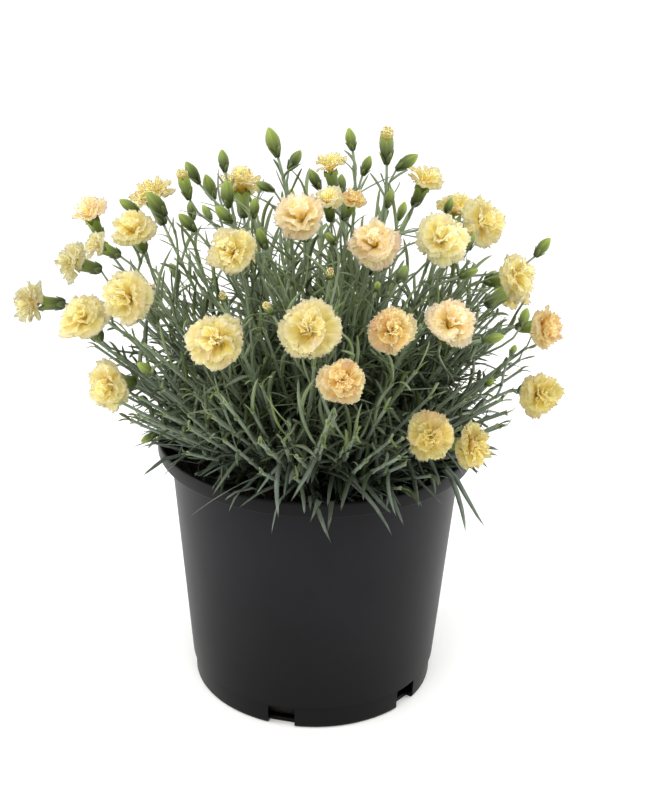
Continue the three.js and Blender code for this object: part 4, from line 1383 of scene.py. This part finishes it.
# The colours of each tint of petal at its base, over its body, in its warm patches and at its rim.
PETAL_COLOURS = {
    "pale": {"base": "#ad913c", "body": "#a79b5a", "blush": "#ad9e7a", "rim": "#b3ac85"},
    "cream": {"base": "#b89e47", "body": "#b2a86a", "blush": "#b8ac8c", "rim": "#bdb996"},
    "blush": {"base": "#b4944b", "body": "#b3a071", "blush": "#b79e81", "rim": "#bdb299"},
    "peach": {"base": "#a07533", "body": "#9f8651", "blush": "#a4815e", "rim": "#afa47b"},
    "gold": {"base": "#997a2b", "body": "#9b8d45", "blush": "#a38c5f", "rim": "#a8a06e"},
    # The darker, greyer tint below is a copy of the pale one: painted shade for the blooms at the left.
    "shaded_pale": {"base": "#8e7e40", "body": "#938d62", "blush": "#998e71", "rim": "#9f9b7e"},
}
LEAF_COLOURS = {"deep": "#212b1d", "glaucous": "#7c887e", "fresh": "#94a845"}


def place_and_aim(thing, place, roll=0.0):
    """Stands a light or the camera at a place in mm, turned to the camera's target and then rolled."""
    thing.location = Vector(place) * MM
    turn = (Vector(CAMERA_TARGET) - Vector(place)).to_track_quat("-Z", "Y")
    thing.rotation_euler = (turn @ Quaternion((0, 0, 1), roll)).to_euler()


class DIANTHUS_OT_studio(bpy.types.Operator):
    """Adds the pale floor, the soft lights and the camera"""

    bl_idname = "dianthus.studio"
    bl_label = "Studio"

    def execute(self, context):
        settings = context.scene.dianthus_studio
        scene = context.scene
        corners = np.array([[-1, -1, 0], [1, -1, 0], [1, 1, 0], [-1, 1, 0]]) * FLOOR_HALF / MM
        floor = add_object("floor", new_mesh("floor", Surface(corners, [np.array([[0, 1, 2, 3]])])))
        floor.data.materials.append(lit_acrylic(settings.paper))
        scene.world = studio_world(settings.skylight)
        scene.view_settings.view_transform = "Standard"
        for name, (place, width, power, colour) in LIGHTS.items():
            lamp = bpy.data.lights.new(name, "AREA")
            lamp.shape, lamp.size, lamp.energy = "SQUARE", width * MM, power
            lamp.color = linear(colour)[:3]
            place_and_aim(add_object(name, lamp), place)
        lens = bpy.data.cameras.new("camera")
        lens.lens, lens.sensor_width = settings.lens, SENSOR_WIDTH
        lens.clip_start, lens.clip_end = CLIP_START, CLIP_END
        scene.camera = add_object("camera", lens)
        place_and_aim(scene.camera, CAMERA_PLACE, settings.roll)
        return {"FINISHED"}


class DIANTHUS_OT_pot(bpy.types.Operator):
    """Adds the moulded pot with its rim, foot and drain notches"""

    bl_idname = "dianthus.pot"
    bl_label = "Pot"

    def execute(self, context):
        plastic = moulded_polypropylene(context.scene.dianthus_pot.colour)
        pot = add_piece("nursery_pot", turned(pot_profile(), POT_SIDES), plastic, ["pot"])
        cut_notches(pot)
        pot.data.set_sharp_from_angle(angle=math.radians(35))
        return {"FINISHED"}


class DIANTHUS_OT_soil(bpy.types.Operator):
    """Adds the compost that fills the pot, and the crumbs on it"""

    bl_idname = "dianthus.soil"
    bl_label = "Soil"

    def execute(self, context):
        rng = np.random.default_rng(context.scene.dianthus_plant.seed)
        whole = joined([soil_surface(rng), soil_crumbs(context.scene.dianthus_pot.crumbs, rng)])
        add_piece("compost", whole, potting_compost(), ["soil"])
        return {"FINISHED"}


class DIANTHUS_OT_leafy_stems(bpy.types.Operator):
    """Adds the flowering stems with their leaves, calyxes and buds"""

    bl_idname = "dianthus.leafy_stems"
    bl_label = "Leafy Stems"

    def execute(self, context):
        settings = context.scene.dianthus_plant
        rng = np.random.default_rng(settings.seed + 1)
        skin = waxy_leaf(LEAF_COLOURS)
        for name, heads in SPRAYS.items():
            surface = leafy_stem(heads, settings, rng)
            add_piece(f"leafy_stem_{name}", surface, skin, [f"spray_{name}"])
        return {"FINISHED"}


class DIANTHUS_OT_leafy_shoots(bpy.types.Operator):
    """Adds the shoots without flowers that fill the pot with leaves"""

    bl_idname = "dianthus.leafy_shoots"
    bl_label = "Leafy Shoots"

    def execute(self, context):
        settings = context.scene.dianthus_plant
        rng = np.random.default_rng(settings.seed + 2)
        skin = bpy.data.materials["waxy_leaf"]
        add_piece("low_shoots", joined(leafy_shoots(LOW_SHOOTS, settings, rng)), skin)
        tall = leafy_shoots(TALL_SHOOTS, settings, rng)
        half = len(tall) // 2
        add_piece("inner_shoots", joined(tall[:half]), skin)
        add_piece("outer_shoots", joined(tall[half:]), skin)
        return {"FINISHED"}


class DIANTHUS_OT_blooms(bpy.types.Operator):
    """Adds the petals of every bloom and opening bud"""

    bl_idname = "dianthus.blooms"
    bl_label = "Blooms"

    def execute(self, context):
        rng = np.random.default_rng(context.scene.dianthus_plant.seed + 3)
        petals = {
            tint: carnation_petal(f"{tint}_carnation_petal", colours)
            for tint, colours in PETAL_COLOURS.items()
        }
        for name, heads in SPRAYS.items():
            for number, each in enumerate([h for h in heads if h.kind == "bloom"], start=1):
                node = f"bloom_{name}_{number}"
                surface = bloom_surface(each, rng)
                add_piece(f"petals_{name}_{number}", surface, petals[each.tint], [node])
        opening_buds = [each for heads in SPRAYS.values() for each in heads if each.kind == "opening"]
        furled = joined([furled_petals(each, rng) for each in opening_buds])
        add_piece("furled_petals", furled, petals["gold"])
        return {"FINISHED"}


class DIANTHUS_PT_panel(bpy.types.Panel):
    """Lists the pieces and their settings"""

    bl_label = "Dianthus"
    bl_idname = "DIANTHUS_PT_panel"
    bl_space_type = "VIEW_3D"
    bl_region_type = "UI"
    bl_category = "Dianthus"

    def draw(self, context):
        for group in SETTINGS:
            box = self.layout.box()
            for name in SETTINGS[group].__annotations__:
                box.prop(getattr(context.scene, group), name)
        for operator in OPERATORS:
            self.layout.operator(operator.bl_idname)


SETTINGS = {
    "dianthus_studio": DianthusStudioSettings,
    "dianthus_pot": DianthusPotSettings,
    "dianthus_plant": DianthusPlantSettings,
}
OPERATORS = (
    DIANTHUS_OT_studio,
    DIANTHUS_OT_pot,
    DIANTHUS_OT_soil,
    DIANTHUS_OT_leafy_stems,
    DIANTHUS_OT_leafy_shoots,
    DIANTHUS_OT_blooms,
)
CLASSES = (*SETTINGS.values(), *OPERATORS, DIANTHUS_PT_panel)


def register():
    for each in CLASSES:
        bpy.utils.register_class(each)
    for name, group in SETTINGS.items():
        setattr(bpy.types.Scene, name, PointerProperty(type=group))


def unregister():
    for name in SETTINGS:
        delattr(bpy.types.Scene, name)
    for each in reversed(CLASSES):
        bpy.utils.unregister_class(each)


def main():
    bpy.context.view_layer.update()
    register()
    for each in OPERATORS:
        group, name = each.bl_idname.split(".")
        getattr(getattr(bpy.ops, group), name)()
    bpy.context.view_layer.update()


if __name__ == "__main__":
    main()
